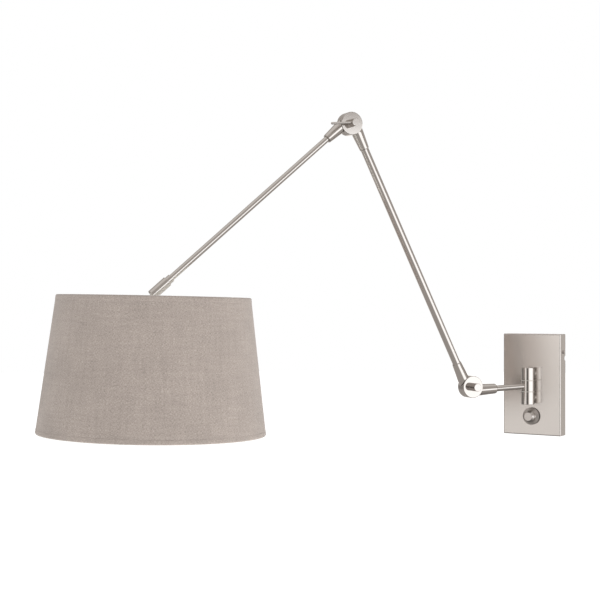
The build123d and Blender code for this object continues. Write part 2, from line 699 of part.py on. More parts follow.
lower_elbow_ring = washer(swing_eye_link, -EYE_LAP / 2, EYE_LAP, ring_outer_d, ring_inner_d)
lower_elbow_ring.part.label = "lower_elbow_ring"
export_step(lower_elbow_ring.part, "parts/lower_elbow_ring.step")

lower_elbow_bolt = elbow_bolt(swing_eye_link, EYE_HALF)
lower_elbow_bolt.part.label = "lower_elbow_bolt"
export_step(lower_elbow_bolt.part, "parts/lower_elbow_bolt.step")

lower_elbow_springs = washer(swing_eye_link, recess_floor, spring_pack, NUT_RECESS_D - 1, BOLT_D)
lower_elbow_springs.part.label = "lower_elbow_springs"
export_step(lower_elbow_springs.part, "parts/lower_elbow_springs.step")

lower_elbow_nut = cap_nut(swing_eye_link, BOLT_D)
lower_elbow_nut.part.label = "lower_elbow_nut"
export_step(lower_elbow_nut.part, "parts/lower_elbow_nut.step")

lower_base_eye = elbow_eye(lower_base_link, NECK_OFFSET, FAR, 13.4, LOWER_TUBE_D, True)
lower_base_eye.part.label = "lower_base_eye"
export_step(lower_base_eye.part, "parts/lower_base_eye.step")

lower_arm_tube = tube(
    lower_neck,
    socket_foot,
    lower_run - socket_foot,
    LOWER_TUBE_D,
    LOWER_TUBE_D - 2 * TUBE_WALL,
)
lower_arm_tube.part.label = "lower_arm_tube"
export_step(lower_arm_tube.part, "parts/lower_arm_tube.step")

lower_top_eye = elbow_eye(lower_top_link, NECK_OFFSET, NEAR, 13.4, LOWER_TUBE_D, False)
lower_top_eye.part.label = "lower_top_eye"
export_step(lower_top_eye.part, "parts/lower_top_eye.step")

upper_elbow_ring = washer(upper_link, -EYE_LAP / 2, EYE_LAP, ring_outer_d, ring_inner_d)
upper_elbow_ring.part.label = "upper_elbow_ring"
export_step(upper_elbow_ring.part, "parts/upper_elbow_ring.step")

clamp_washer = washer(clamp_link, EYE_HALF, CLAMP_WASHER, BOLT_HEAD_D + 2, BOLT_D)
clamp_washer.part.label = "clamp_washer"
export_step(clamp_washer.part, "parts/clamp_washer.step")

lever_centre = EYE_HALF + CLAMP_WASHER + LEVER_HEIGHT
lever_start = BOLT_HEAD_D / 2 - 3
clamp_screw = elbow_bolt(clamp_link, EYE_HALF + CLAMP_WASHER)
with BuildPart() as clamp_bolt:
    add(clamp_screw.part)
    with BuildSketch(across(clamp_link.offset(lever_centre), lever_start)):
        Circle(LEVER_D / 2)
    extrude(amount=BOLT_HEAD_D, mode=Mode.SUBTRACT)
clamp_bolt.part.label = "clamp_bolt"
export_step(clamp_bolt.part, "parts/clamp_bolt.step")

with BuildPart() as clamp_lever:
    with BuildSketch(across(clamp_link.offset(lever_centre), lever_start)):
        Circle(LEVER_D / 2)
    extrude(amount=LEVER_REACH - lever_start)
    tip = clamp_lever.faces().sort_by(Axis(clamp_link.origin, clamp_link.x_dir))[-1]
    fillet(tip.edges(), LEVER_D / 2 - 0.2)
clamp_lever.part.label = "clamp_lever"
export_step(clamp_lever.part, "parts/clamp_lever.step")

clamp_springs = washer(upper_link, recess_floor, spring_pack, NUT_RECESS_D - 1, BOLT_D + RUNNING_PLAY)
clamp_springs.part.label = "clamp_springs"
export_step(clamp_springs.part, "parts/clamp_springs.step")

clamp_nut = cap_nut(upper_link, BOLT_D + RUNNING_PLAY)
clamp_nut.part.label = "clamp_nut"
export_step(clamp_nut.part, "parts/clamp_nut.step")

upper_arm_eye = elbow_eye(upper_link, -NECK_OFFSET, FAR, 12.7, UPPER_TUBE_D, True)
upper_arm_eye.part.label = "upper_arm_eye"
export_step(upper_arm_eye.part, "parts/upper_arm_eye.step")

sleeve_start = upper_run - SLEEVE_BACK
sleeve_end = upper_run + SLEEVE_FRONT
slot_start = upper_run - SLOT_BACK
tube_stop = slot_start - 3
upper_arm_tube = tube(upper_neck, socket_foot, tube_stop, UPPER_TUBE_D, UPPER_TUBE_D - 2 * TUBE_WALL)
upper_arm_tube.part.label = "upper_arm_tube"
export_step(upper_arm_tube.part, "parts/upper_arm_tube.step")

upper_arm_collar = tube(upper_neck, sleeve_start - COLLAR_LENGTH, sleeve_start, COLLAR_D, UPPER_TUBE_D)
upper_arm_collar.part.label = "upper_arm_collar"
export_step(upper_arm_collar.part, "parts/upper_arm_collar.step")

# The sleeve's slot is open at its end and underside, so that the tongue can swing in it.
with BuildPart() as head_sleeve:
    with BuildSketch(across(upper_neck, sleeve_start)):
        Circle(SLEEVE_D / 2)
    extrude(amount=sleeve_end - sleeve_start)
    chamfer(head_sleeve.edges().filter_by(GeomType.CIRCLE), BARREL_BREAK)
    with BuildSketch(across(upper_neck, sleeve_start)):
        Circle(UPPER_TUBE_D / 2)
    extrude(amount=tube_stop - sleeve_start, mode=Mode.SUBTRACT)
    with BuildSketch(across(upper_neck, sleeve_start)):
        Circle(SPIGOT_BORE_D / 2)
    extrude(amount=slot_start - sleeve_start + 1, mode=Mode.SUBTRACT)
    with BuildSketch(upper_neck):
        with Locations(((slot_start + sleeve_end + 1) / 2, (SLEEVE_D - SLOT_TOP) / 2)):
            Rectangle(sleeve_end + 1 - slot_start, SLEEVE_D + SLOT_TOP)
    extrude(amount=SLOT_WIDTH / 2, both=True, mode=Mode.SUBTRACT)
    with BuildSketch(link(head_pivot, 0)):
        with Locations((0, -SLEEVE_CUT - SLEEVE_D / 2)):
            Rectangle(4 * SLEEVE_D, SLEEVE_D)
    extrude(amount=SLEEVE_D, both=True, mode=Mode.SUBTRACT)
    with BuildSketch(HEAD.offset(-SLEEVE_D)):
        Circle(HEAD_PIN_D / 2)
    extrude(amount=SLEEVE_D + SLEEVE_D / 2 - 2, mode=Mode.SUBTRACT)
head_sleeve.part.label = "head_sleeve"
export_step(head_sleeve.part, "parts/head_sleeve.step")

with BuildPart() as head_pin:
    with BuildSketch(HEAD.offset(0.3 - SLEEVE_D / 2)):
        Circle(HEAD_PIN_D / 2)
    extrude(amount=SLEEVE_D - 2.3)
head_pin.part.label = "head_pin"
export_step(head_pin.part, "parts/head_pin.step")

# ---------------------------------------------------------------- head, from the tilt pin down
collar_top = 9
collar_bottom = 12
collar_d = 13
stem_bottom = 20
cap_wall = 2
cap_r = 18.5
cap_bottom = 34
body_r = 19.8
flange_r = 23
flange_top = 38
flange_bottom = 41
body_bottom = 74
body_bore_r = 14.2
floor_top = 42
floor_bottom = 44
insert_bottom = 48
shell_wall = 0.6
shell_r = body_bore_r - 0.3
hub_bottom = flange_bottom + 1.6
hub_r = 29
ring_nut_r = 27
ring_nut_height = 6
contact_height = 1.5

with BuildPart() as head_tongue:
    with BuildSketch(HEAD):
        Circle(TONGUE_WIDTH / 2)
        with Locations((0, -collar_top / 2)):
            Rectangle(TONGUE_WIDTH, collar_top)
        Circle((HEAD_PIN_D + RUNNING_PLAY) / 2, mode=Mode.SUBTRACT)
    extrude(amount=TONGUE_THICKNESS / 2, both=True)
    with BuildSketch(HEAD):
        with BuildLine():
            Polyline(
                (collar_d / 2, -collar_top),
                (collar_d / 2, -collar_bottom),
                (STEM_D / 2, -collar_bottom),
                (STEM_D / 2, -stem_bottom),
                (FLEX_D / 2 + RUNNING_PLAY, -stem_bottom),
                (FLEX_D / 2 + RUNNING_PLAY, -collar_top),
                close=True,
            )
        make_face()
    revolve(axis=head_axis)
    with BuildSketch(Plane(origin=HEAD.origin, z_dir=HEAD.y_dir).offset(-stem_bottom)):
        Circle(FLEX_D / 2 + RUNNING_PLAY)
    extrude(amount=stem_bottom - collar_top + 4, mode=Mode.SUBTRACT)
head_tongue.part.label = "head_tongue"
export_step(head_tongue.part, "parts/head_tongue.step")


def turned(points):
    """A piece turned about the head's axis from (radius, height) points."""
    with BuildPart() as piece:
        with BuildSketch(HEAD):
            with BuildLine():
                Polyline(*points, close=True)
            make_face()
        revolve(axis=head_axis)
    return piece


cap_shoulder = 8
with BuildPart() as holder_cap:
    with BuildSketch(HEAD):
        with BuildLine():
            Line((STEM_D / 2, -collar_bottom), (cap_shoulder, -collar_bottom))
            RadiusArc((cap_shoulder, -collar_bottom), (cap_r, -cap_bottom + 8), 12)
            Line((cap_r, -cap_bottom + 8), (cap_r, -cap_bottom))
            Line((cap_r, -cap_bottom), (cap_r - cap_wall, -cap_bottom))
            Line((cap_r - cap_wall, -cap_bottom), (cap_r - cap_wall, -cap_bottom + 8))
            RadiusArc(
                (cap_r - cap_wall, -cap_bottom + 8), (cap_shoulder, -collar_bottom - cap_wall), -10
            )
            Line((cap_shoulder, -collar_bottom - cap_wall), (STEM_D / 2, -collar_bottom - cap_wall))
            Line((STEM_D / 2, -collar_bottom - cap_wall), (STEM_D / 2, -collar_bottom))
        make_face()
    revolve(axis=head_axis)
holder_cap.part.label = "holder_cap"
export_step(holder_cap.part, "parts/holder_cap.step")

holder_body = turned(
    [
        (FLEX_D, -floor_top),
        (cap_r - cap_wall, -floor_top),
        (cap_r - cap_wall, -cap_bottom),
        (body_r, -cap_bottom),
        (body_r, -flange_top),
        (flange_r, -flange_top),
        (flange_r, -flange_bottom),
        (body_r, -flange_bottom),
        (body_r, -body_bottom + 10),
        (cap_r, -body_bottom + 8),
        (cap_r, -body_bottom),
        (body_bore_r, -body_bottom),
        (body_bore_r, -floor_bottom),
        (FLEX_D, -floor_bottom),
    ]
)
holder_body.part.label = "holder_body"
export_step(holder_body.part, "parts/holder_body.step")

holder_insert = turned(
    [
        (FLEX_D, -floor_bottom),
        (shell_r, -floor_bottom),
        (shell_r, -insert_bottom),
        (FLEX_D, -insert_bottom),
    ]
)
holder_insert.part.label = "holder_insert"
export_step(holder_insert.part, "parts/holder_insert.step")

screw_shell = turned(
    [
        (shell_r, -insert_bottom),
        (shell_r, -body_bottom + 4),
        (shell_r - shell_wall, -body_bottom + 4),
        (shell_r - shell_wall, -insert_bottom),
    ]
)
screw_shell.part.label = "screw_shell"
export_step(screw_shell.part, "parts/screw_shell.step")

holder_contact = turned(
    [
        (0, -insert_bottom),
        (4, -insert_bottom),
        (4, -insert_bottom - contact_height),
        (0, -insert_bottom - contact_height),
    ]
)
holder_contact.part.label = "holder_contact"
export_step(holder_contact.part, "parts/holder_contact.step")

shade_ring_nut = turned(
    [
        (body_r, -hub_bottom),
        (ring_nut_r, -hub_bottom),
        (ring_nut_r, -hub_bottom - ring_nut_height + 1),
        (ring_nut_r - 1, -hub_bottom - ring_nut_height),
        (body_r, -hub_bottom - ring_nut_height),
    ]
)
shade_ring_nut.part.label = "shade_ring_nut"
export_step(shade_ring_nut.part, "parts/shade_ring_nut.step")

# ---------------------------------------------------------------- bulb
tip_height = 1.5
tip_top = insert_bottom + contact_height
cap_top = tip_top + tip_height
bulb_cap_r = 13.1
globe_r = 30
globe_centre = 122
glass_wall = 1.2
neck_r = 13.6

bulb_contact = turned(
    [(0, -tip_top), (3.5, -tip_top), (5, -cap_top), (0, -cap_top)],
)
bulb_contact.part.label = "bulb_contact"
export_step(bulb_contact.part, "parts/bulb_contact.step")

bulb_cap = turned(
    [
        (0, -cap_top),
        (6, -cap_top),
        (bulb_cap_r, -cap_top - 4),
        (bulb_cap_r, -body_bottom),
        (0, -body_bottom),
    ]
)
bulb_cap.part.label = "bulb_cap"
export_step(bulb_cap.part, "parts/bulb_cap.step")

with BuildPart() as bulb_glass:
    for wall, mode in ((0, Mode.ADD), (glass_wall, Mode.SUBTRACT)):
        with BuildSketch(HEAD):
            with BuildLine():
                Line((0, -body_bottom), (neck_r - wall, -body_bottom))
                Spline(
                    (neck_r - wall, -body_bottom),
                    (23 - wall, -99),
                    (globe_r - wall, -globe_centre),
                    tangents=((0.15, -1), (0, -1)),
                )
                RadiusArc(
                    (globe_r - wall, -globe_centre),
                    (0, -globe_centre - globe_r + wall),
                    globe_r - wall,
                )
                Line((0, -globe_centre - globe_r + wall), (0, -body_bottom))
            make_face()
        revolve(axis=head_axis, mode=mode)
bulb_glass.part.label = "bulb_glass"
export_step(bulb_glass.part, "parts/bulb_glass.step")

# ---------------------------------------------------------------- shade
rim_top = SHADE_DROP
rim_bottom = SHADE_DROP + SHADE_HEIGHT
top_r = SHADE_TOP_D / 2
bottom_r = SHADE_BOTTOM_D / 2
flare = (bottom_r - top_r) / SHADE_HEIGHT
wire_inset = FABRIC + LINER + RIM_WIRE_D / 2 + 0.15
wire_down = RIM_WIRE_D / 2 + 0.3

shade_fabric = turned(
    [
        (top_r, -rim_top),
        (bottom_r, -rim_bottom),
        (bottom_r - FABRIC, -rim_bottom),
        (top_r - FABRIC, -rim_top),
    ]
)
shade_fabric.part.label = "shade_fabric"
export_step(shade_fabric.part, "parts/shade_fabric.step")

shade_liner = turned(
    [
        (top_r - FABRIC, -rim_top),
        (bottom_r - FABRIC, -rim_bottom),
        (bottom_r - FABRIC - LINER, -rim_bottom),
        (top_r - FABRIC - LINER, -rim_top),
    ]
)
shade_liner.part.label = "shade_liner"
export_step(shade_liner.part, "parts/shade_liner.step")

top_wire_r = top_r + flare * wire_down - wire_inset
bottom_wire_r = bottom_r - flare * (wire_down + RIM_WIRE_D / 2) - wire_inset
spoke_knee_r = 62
spoke_start_r = ring_nut_r + 0.5
hub_middle = (flange_bottom + hub_bottom) / 2
top_wire_y = -rim_top - wire_down

with BuildPart() as shade_rings:
    with BuildSketch(HEAD):
        with Locations((top_wire_r, top_wire_y), (bottom_wire_r, -rim_bottom + wire_down)):
            Circle(RIM_WIRE_D / 2)
    revolve(axis=head_axis)
shade_rings.part.label = "shade_rings"
export_step(shade_rings.part, "parts/shade_rings.step")

with BuildPart() as shade_spider:
    with BuildSketch(HEAD):
        with Locations(((body_r + 0.2 + hub_r) / 2, -hub_middle)):
            Rectangle(hub_r - body_r - 0.2, hub_bottom - flange_bottom)
    revolve(axis=head_axis)
    for number in range(SPOKE_COUNT):
        turn = radians(90 + number * 360 / SPOKE_COUNT)
        spoke_direction = HEAD.x_dir * cos(turn) + HEAD.z_dir * sin(turn)
        spoke_plane = Plane(
            origin=HEAD.origin, x_dir=spoke_direction, z_dir=spoke_direction.cross(HEAD.y_dir)
        )
        with BuildLine(spoke_plane) as spoke:
            FilletPolyline(
                (spoke_start_r, -hub_middle),
                (spoke_knee_r, -hub_middle),
                (top_wire_r, top_wire_y),
                radius=SPOKE_BEND_R,
            )
        with BuildSketch(Plane(origin=spoke.line @ 0, z_dir=spoke.line % 0)):
            Circle(SPOKE_D / 2)
        sweep()
    with BuildSketch(HEAD):
        with Locations((top_wire_r, top_wire_y)):
            Circle(RIM_WIRE_D / 2)
    revolve(axis=head_axis, mode=Mode.SUBTRACT)
shade_spider.part.label = "shade_spider"
export_step(shade_spider.part, "parts/shade_spider.step")


# ---------------------------------------------------------------- wiring
def flex(path_plane, points, radii, diameter):
    """A round lead along straight runs joined by arcs."""
    with BuildPart() as lead:
        with BuildLine(path_plane) as route:
            FilletPolyline(*points, radius=radii)
        with BuildSketch(Plane(origin=route.line @ 0, z_dir=route.line % 0)):
            Circle(diameter / 2)
        sweep()
    return lead


pocket_reach = 10
bend_inner = 20
bend_outer = 27
bend_r = 10
terminal_foot = TERMINAL_Z - TERMINAL_HEIGHT / 2
flex_from_wall = terminal_middle

wall_flex = flex(
    Plane.YZ,
    [
        (-flex_from_wall, terminal_foot),
        (-flex_from_wall, spigot_up),
        (HINGE_Y, spigot_up),
        (HINGE_Y, swing_top - HINGE_PIN_REACH),
    ],
    [3.5, 2.6],
    FLEX_D,
)
wall_flex.part.label = "wall_flex"
export_step(wall_flex.part, "parts/wall_flex.step")

dimmer_lead_d = 1.8
lead_sweep_x = 15
with BuildPart() as dimmer_leads:
    for side in (1, -1):
        with BuildLine(Plane.XZ.offset(flex_from_wall)) as lead_route:
            FilletPolyline(
                (side * TERMINAL_PITCH, terminal_foot),
                (side * TERMINAL_PITCH, 34),
                (side * lead_sweep_x, 22),
                (side * lead_sweep_x, -22),
                (side * TERMINAL_PITCH, -30),
                (side * TERMINAL_PITCH, DIMMER_Z + DIMMER_SIDE / 2),
                radius=4,
            )
        with BuildSketch(Plane(origin=lead_route.line @ 0, z_dir=lead_route.line % 0)):
            Circle(dimmer_lead_d / 2)
        sweep()
dimmer_leads.part.label = "dimmer_leads"
export_step(dimmer_leads.part, "parts/dimmer_leads.step")

swing_flex = flex(
    beside(swing_neck, 1),
    [
        (swing_run - 1, 0),
        (bend_outer, 0),
        (bend_inner, WIRE_OFFSET),
        (pocket_reach, WIRE_OFFSET),
    ],
    bend_r,
    FLEX_D,
)
swing_flex.part.label = "swing_flex"
export_step(swing_flex.part, "parts/swing_flex.step")

lower_arm_flex = flex(
    beside(lower_neck, 1),
    [
        (pocket_reach, -WIRE_OFFSET),
        (bend_inner, -WIRE_OFFSET),
        (bend_outer, 0),
        (lower_run - bend_outer, 0),
        (lower_run - bend_inner, WIRE_OFFSET),
        (lower_run - pocket_reach, WIRE_OFFSET),
    ],
    bend_r,
    FLEX_D,
)
lower_arm_flex.part.label = "lower_arm_flex"
export_step(lower_arm_flex.part, "parts/lower_arm_flex.step")

upper_arm_flex = flex(
    beside(upper_neck, 1),
    [
        (pocket_reach, -WIRE_OFFSET),
        (bend_inner, -WIRE_OFFSET),
        (bend_outer, 0),
        (slot_start - 0.5, 0),
    ],
    bend_r,
    FLEX_D,
)
upper_arm_flex.part.label = "upper_arm_flex"
export_step(upper_arm_flex.part, "parts/upper_arm_flex.step")

head_flex = turned(
    [
        (0, -collar_top + 3),
        (FLEX_D / 2, -collar_top + 3),
        (FLEX_D / 2, -insert_bottom),
        (0, -insert_bottom),
    ]
)
head_flex.part.label = "head_flex"
export_step(head_flex.part, "parts/head_flex.step")
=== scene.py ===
"""Swing-arm wall lamp: finishes for its metal, wiring and bulb, its linen shade, and a plain stage."""

import json
import math

import bpy
from mathutils import Matrix, Vector


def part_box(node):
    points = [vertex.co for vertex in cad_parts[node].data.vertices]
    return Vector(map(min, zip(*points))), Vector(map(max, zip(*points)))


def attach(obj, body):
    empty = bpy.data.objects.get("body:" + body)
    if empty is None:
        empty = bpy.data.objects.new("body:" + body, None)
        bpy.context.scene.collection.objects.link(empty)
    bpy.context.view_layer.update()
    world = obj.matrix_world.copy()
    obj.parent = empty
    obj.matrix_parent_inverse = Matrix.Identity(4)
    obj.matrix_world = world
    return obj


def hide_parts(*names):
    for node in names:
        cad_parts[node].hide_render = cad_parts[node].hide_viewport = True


bl_info = {
    "name": "Swing-arm wall lamp",
    "version": (1, 0, 0),
    "blender": (4, 5, 0),
    "location": "3D View > Sidebar > Wall Lamp",
    "description": "Finishes and a linen shade for a jointed wall lamp, with a pale stage",
    "category": "Object",
}

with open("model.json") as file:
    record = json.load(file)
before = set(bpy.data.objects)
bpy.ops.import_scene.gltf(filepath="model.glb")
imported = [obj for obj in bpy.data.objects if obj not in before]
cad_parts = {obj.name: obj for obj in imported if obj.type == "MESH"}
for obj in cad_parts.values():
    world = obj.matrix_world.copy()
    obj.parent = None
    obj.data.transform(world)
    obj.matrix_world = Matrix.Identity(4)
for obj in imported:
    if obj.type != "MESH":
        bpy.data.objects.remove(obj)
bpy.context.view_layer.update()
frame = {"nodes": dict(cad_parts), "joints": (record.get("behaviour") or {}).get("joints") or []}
NODES = frame["nodes"]
JOINTS = {joint["name"]: joint for joint in frame["joints"]}
MM = 0.001
UP = Vector((0, 0, 1))
SWING_SLOPE, LOWER_SLOPE, UPPER_SLOPE = -2.46, 64.11, -40.86


# ---------------------------------------------------------------- places on the lamp
def joint_place(name):
    return Vector(JOINTS[name]["pos_m"])


def joint_axis(name):
    return Vector(JOINTS[name]["axis"]).normalized()


PIN = joint_axis("lower_elbow")
HINGE = joint_place("swing_hinge")
LOWER_ELBOW = joint_place("lower_elbow")
UPPER_ELBOW = joint_place("upper_elbow")
HEAD_PIVOT = joint_place("head_tilt")
DIAL = joint_place("dimmer_turn")


def axes(origin, x_axis, z_axis):
    """A right-handed frame at origin, its z along z_axis and its x as near x_axis as can be."""
    z = z_axis.normalized()
    x = (x_axis - z * x_axis.dot(z)).normalized()
    y = z.cross(x)
    turn = Matrix((x, y, z)).transposed().to_4x4()
    return Matrix.Translation(origin) @ turn


def outward(slope):
    """Direction away from the wall in the arms' upright plane, rising by slope degrees."""
    away = (LOWER_ELBOW - HINGE) * Vector((1, 1, 0))
    return away.normalized() * math.cos(math.radians(slope)) + UP * math.sin(math.radians(slope))


SWING_LINE = outward(SWING_SLOPE)
LOWER_LINE = outward(LOWER_SLOPE)
UPPER_LINE = outward(UPPER_SLOPE)

WALL_FRAME = Matrix.Identity(4)
HINGE_FRAME = axes(HINGE, LOWER_ELBOW - HINGE, UP)
SWING_FRAME = axes(LOWER_ELBOW, -SWING_LINE, PIN)
LOWER_FOOT_FRAME = axes(LOWER_ELBOW, LOWER_LINE, PIN)
LOWER_TOP_FRAME = axes(UPPER_ELBOW, -LOWER_LINE, PIN)
UPPER_FRAME = axes(UPPER_ELBOW, UPPER_LINE, PIN)
DIAL_FRAME = axes(DIAL, Vector((1, 0, 0)), Vector((0, -1, 0)))


def head_frame(tilt):
    """The head's frame at its tilt pin: z up the shade's axis, x level."""
    away = (HINGE - HEAD_PIVOT) - UP * (HINGE - HEAD_PIVOT).z
    up = UP * math.cos(tilt) + away.normalized() * math.sin(tilt)
    return axes(HEAD_PIVOT, away, up)


# ---------------------------------------------------------------- settings
class LampMetalSettings(bpy.types.PropertyGroup):
    """Colours and surface of the lamp's metal."""

    nickel: bpy.props.FloatVectorProperty(
        name="Nickel",
        description="Colour of the satin nickel plate",
        subtype="COLOR",
        size=3,
        min=0,
        max=1,
        default=(0.695, 0.664, 0.638),
    )
    nickel_roughness: bpy.props.FloatProperty(
        name="Satin",
        description="How dull the satin nickel is",
        subtype="FACTOR",
        min=0,
        max=1,
        default=0.09,
    )
    brush_depth: bpy.props.FloatProperty(
        name="Brush lines",
        description="How deep the brush lines look",
        subtype="FACTOR",
        min=0,
        max=1,
        default=0.05,
    )
    steel: bpy.props.FloatVectorProperty(
        name="Steel",
        description="Colour of the zinc-plated steel",
        subtype="COLOR",
        size=3,
        min=0,
        max=1,
        default=(0.56, 0.57, 0.58),
    )
    brass: bpy.props.FloatVectorProperty(
        name="Brass",
        description="Colour of the plain brass",
        subtype="COLOR",
        size=3,
        min=0,
        max=1,
        default=(0.78, 0.6, 0.32),
    )


class LampShadeSettings(bpy.types.PropertyGroup):
    """Sizes and colours of the shade."""

    top_radius: bpy.props.FloatProperty(
        name="Top radius",
        description="Radius of the shade's top edge",
        unit="LENGTH",
        default=0.127,
    )
    bottom_radius: bpy.props.FloatProperty(
        name="Bottom radius",
        description="Radius of the shade's bottom edge",
        unit="LENGTH",
        default=0.150,
    )
    height: bpy.props.FloatProperty(
        name="Height",
        description="Height of the shade",
        unit="LENGTH",
        default=0.180,
    )
    drop: bpy.props.FloatProperty(
        name="Drop",
        description="How far the shade's top is below the tilt pin",
        unit="LENGTH",
        default=0.0042,
    )
    tilt: bpy.props.FloatProperty(
        name="Tilt",
        description="How far the shade leans on its tilt pin",
        subtype="ANGLE",
        unit="ROTATION",
        default=math.radians(1.2),
    )
    linen: bpy.props.FloatVectorProperty(
        name="Linen",
        description="Colour of the linen",
        subtype="COLOR",
        size=3,
        min=0,
        max=1,
        default=(0.36, 0.31, 0.278),
    )
    thread: bpy.props.FloatProperty(
        name="Thread",
        description="Width of one thread of the linen",
        unit="LENGTH",
        default=0.00055,
    )


class LampStageSettings(bpy.types.PropertyGroup):
    """The floor, the lights and the camera."""

    floor_level: bpy.props.FloatProperty(
        name="Floor",
        description="Height of the floor below the back plate's middle",
        unit="LENGTH",
        default=-0.75,
    )
    eye: bpy.props.FloatVectorProperty(
        name="Camera",
        description="Place of the camera",
        subtype="TRANSLATION",
        unit="LENGTH",
        size=3,
        default=(0.75057, -1.83405, 0.12541),
    )
    eye_turn: bpy.props.FloatProperty(
        name="Camera turn",
        description="How far the camera is turned from looking straight at the wall",
        subtype="ANGLE",
        unit="ROTATION",
        default=math.radians(32.58),
    )
    lens: bpy.props.FloatProperty(
        name="Lens",
        description="Focal length in millimetres on a 36 mm sensor",
        default=78.0,
    )


# ---------------------------------------------------------------- node helpers
def new_material(name):
    """An empty node material with a Principled shader; returns the material, its tree and the shader."""
    material = bpy.data.materials.new(name)
    material.use_nodes = True
    tree = material.node_tree
    return material, tree, tree.nodes["Principled BSDF"]


def feed(tree, socket, value):
    """Links value to a socket if it is another node's output, or else sets it there."""
    if isinstance(value, bpy.types.NodeSocket):
        tree.links.new(value, socket)
    else:
        socket.default_value = value


def maths(tree, operation, first, second=0.0):
    node = tree.nodes.new("ShaderNodeMath")
    node.operation = operation
    feed(tree, node.inputs[0], first)
    feed(tree, node.inputs[1], second)
    return node.outputs[0]


def spread(tree, value, low, high, new_low, new_high):
    """Takes value from low..high to new_low..new_high, smoothly and no further."""
    node = tree.nodes.new("ShaderNodeMapRange")
    node.interpolation_type = "SMOOTHSTEP"
    for socket, number in zip(node.inputs, (value, low, high, new_low, new_high)):
        feed(tree, socket, number)
    return node.outputs[0]


def joined(tree, x, y, z):
    node = tree.nodes.new("ShaderNodeCombineXYZ")
    for socket, value in zip(node.inputs, (x, y, z)):
        feed(tree, socket, value)
    return node.outputs[0]


def parts(tree, vector):
    node = tree.nodes.new("ShaderNodeSeparateXYZ")
    feed(tree, node.inputs[0], vector)
    return node.outputs


def noise(tree, vector, scale=1.0, detail=2.0, roughness=0.5):
    node = tree.nodes.new("ShaderNodeTexNoise")
    feed(tree, node.inputs["Vector"], vector)
    node.inputs["Scale"].default_value = scale
    node.inputs["Detail"].default_value = detail
    node.inputs["Roughness"].default_value = roughness
    return node.outputs["Fac"]


def tinted(tree, colour, brightness):
    """A colour times a brightness that a node gives."""
    node = tree.nodes.new("ShaderNodeVectorMath")
    node.operation = "SCALE"
    feed(tree, node.inputs[0], colour)
    feed(tree, node.inputs["Scale"], brightness)
    return node.outputs[0]


def mixed(tree, factor, first, second):
    node = tree.nodes.new("ShaderNodeMix")
    node.data_type = "RGBA"
    feed(tree, node.inputs[0], factor)
    feed(tree, node.inputs[6], first)
    feed(tree, node.inputs[7], second)
    return node.outputs[2]


def blended(tree, factor, first, second):
    node = tree.nodes.new("ShaderNodeMix")
    feed(tree, node.inputs[0], factor)
    feed(tree, node.inputs[2], first)
    feed(tree, node.inputs[3], second)
    return node.outputs[0]


def bumped(tree, shader, height, strength, depth, edge=0.0):
    """Bump from a height, over edges that look rounded to a radius of edge."""
    bump = tree.nodes.new("ShaderNodeBump")
    bump.inputs["Strength"].default_value = strength
    bump.inputs["Distance"].default_value = depth
    feed(tree, bump.inputs["Height"], height)
    if edge:
        bevel = tree.nodes.new("ShaderNodeBevel")
        bevel.samples = 6
        bevel.inputs["Radius"].default_value = edge
        tree.links.new(bevel.outputs[0], bump.inputs["Normal"])
    tree.links.new(bump.outputs[0], shader.inputs["Normal"])


def scaled(tree, vector, *factors):
    """A vector with each of its parts times a factor."""
    pairs = zip(parts(tree, vector), factors)
    return joined(tree, *[maths(tree, "MULTIPLY", part, by) for part, by in pairs])


def varied(tree, value, low, high):
    """Low to high over the middle range of a noise."""
    return spread(tree, value, 0.2, 0.8, low, high)


def plus(tree, first, second, share=1.0):
    return maths(tree, "ADD", first, maths(tree, "MULTIPLY", second, share))


def from_axis(tree, x, y):
    """Distance from the frame's z axis."""
    squares = maths(tree, "ADD", maths(tree, "MULTIPLY", x, x), maths(tree, "MULTIPLY", y, y))
    return maths(tree, "SQRT", squares)


def place_on(tree, frame_matrix):
    """Position on the piece, in metres, in the given frame of the lamp at rest."""
    where = tree.nodes.new("ShaderNodeTexCoord")
    mapping = tree.nodes.new("ShaderNodeMapping")
    mapping.vector_type = "TEXTURE"
    mapping.inputs["Location"].default_value = frame_matrix.translation
    mapping.inputs["Rotation"].default_value = frame_matrix.to_euler()
    tree.links.new(where.outputs["Object"], mapping.inputs["Vector"])
    return mapping.outputs[0]


def dress(node_names, material):
    """Gives CAD nodes a material, with faces smooth up to their real edges."""
    for name in node_names:
        mesh = NODES[name].data
        mesh.materials.clear()
        mesh.materials.append(material)
        mesh.shade_smooth()
        mesh.set_sharp_from_angle(angle=SMOOTH_ANGLE)


# ---------------------------------------------------------------- finishes
SMOOTH_ANGLE = math.radians(28)
BRUSH_FINE = 5200.0
BRUSH_LONG = 40.0
BRUSH_TURN = 1.5
BRUSH_BUMP = 0.00002
EYE_DISC = 0.017


def brushed_along(tree, place):
    """Lines along the frame's x."""
    stretched = scaled(tree, place, BRUSH_LONG, BRUSH_FINE, BRUSH_FINE)
    return noise(tree, stretched, detail=3.0, roughness=0.6)


def brushed_round(tree, place):
    """Rings about the frame's z."""
    x, y, z = parts(tree, place)
    turn = maths(tree, "ARCTAN2", y, x)
    rings = joined(tree, from_axis(tree, x, y), z, turn)
    return noise(tree, scaled(tree, rings, BRUSH_FINE, BRUSH_FINE, BRUSH_TURN), detail=3.0, roughness=0.6)


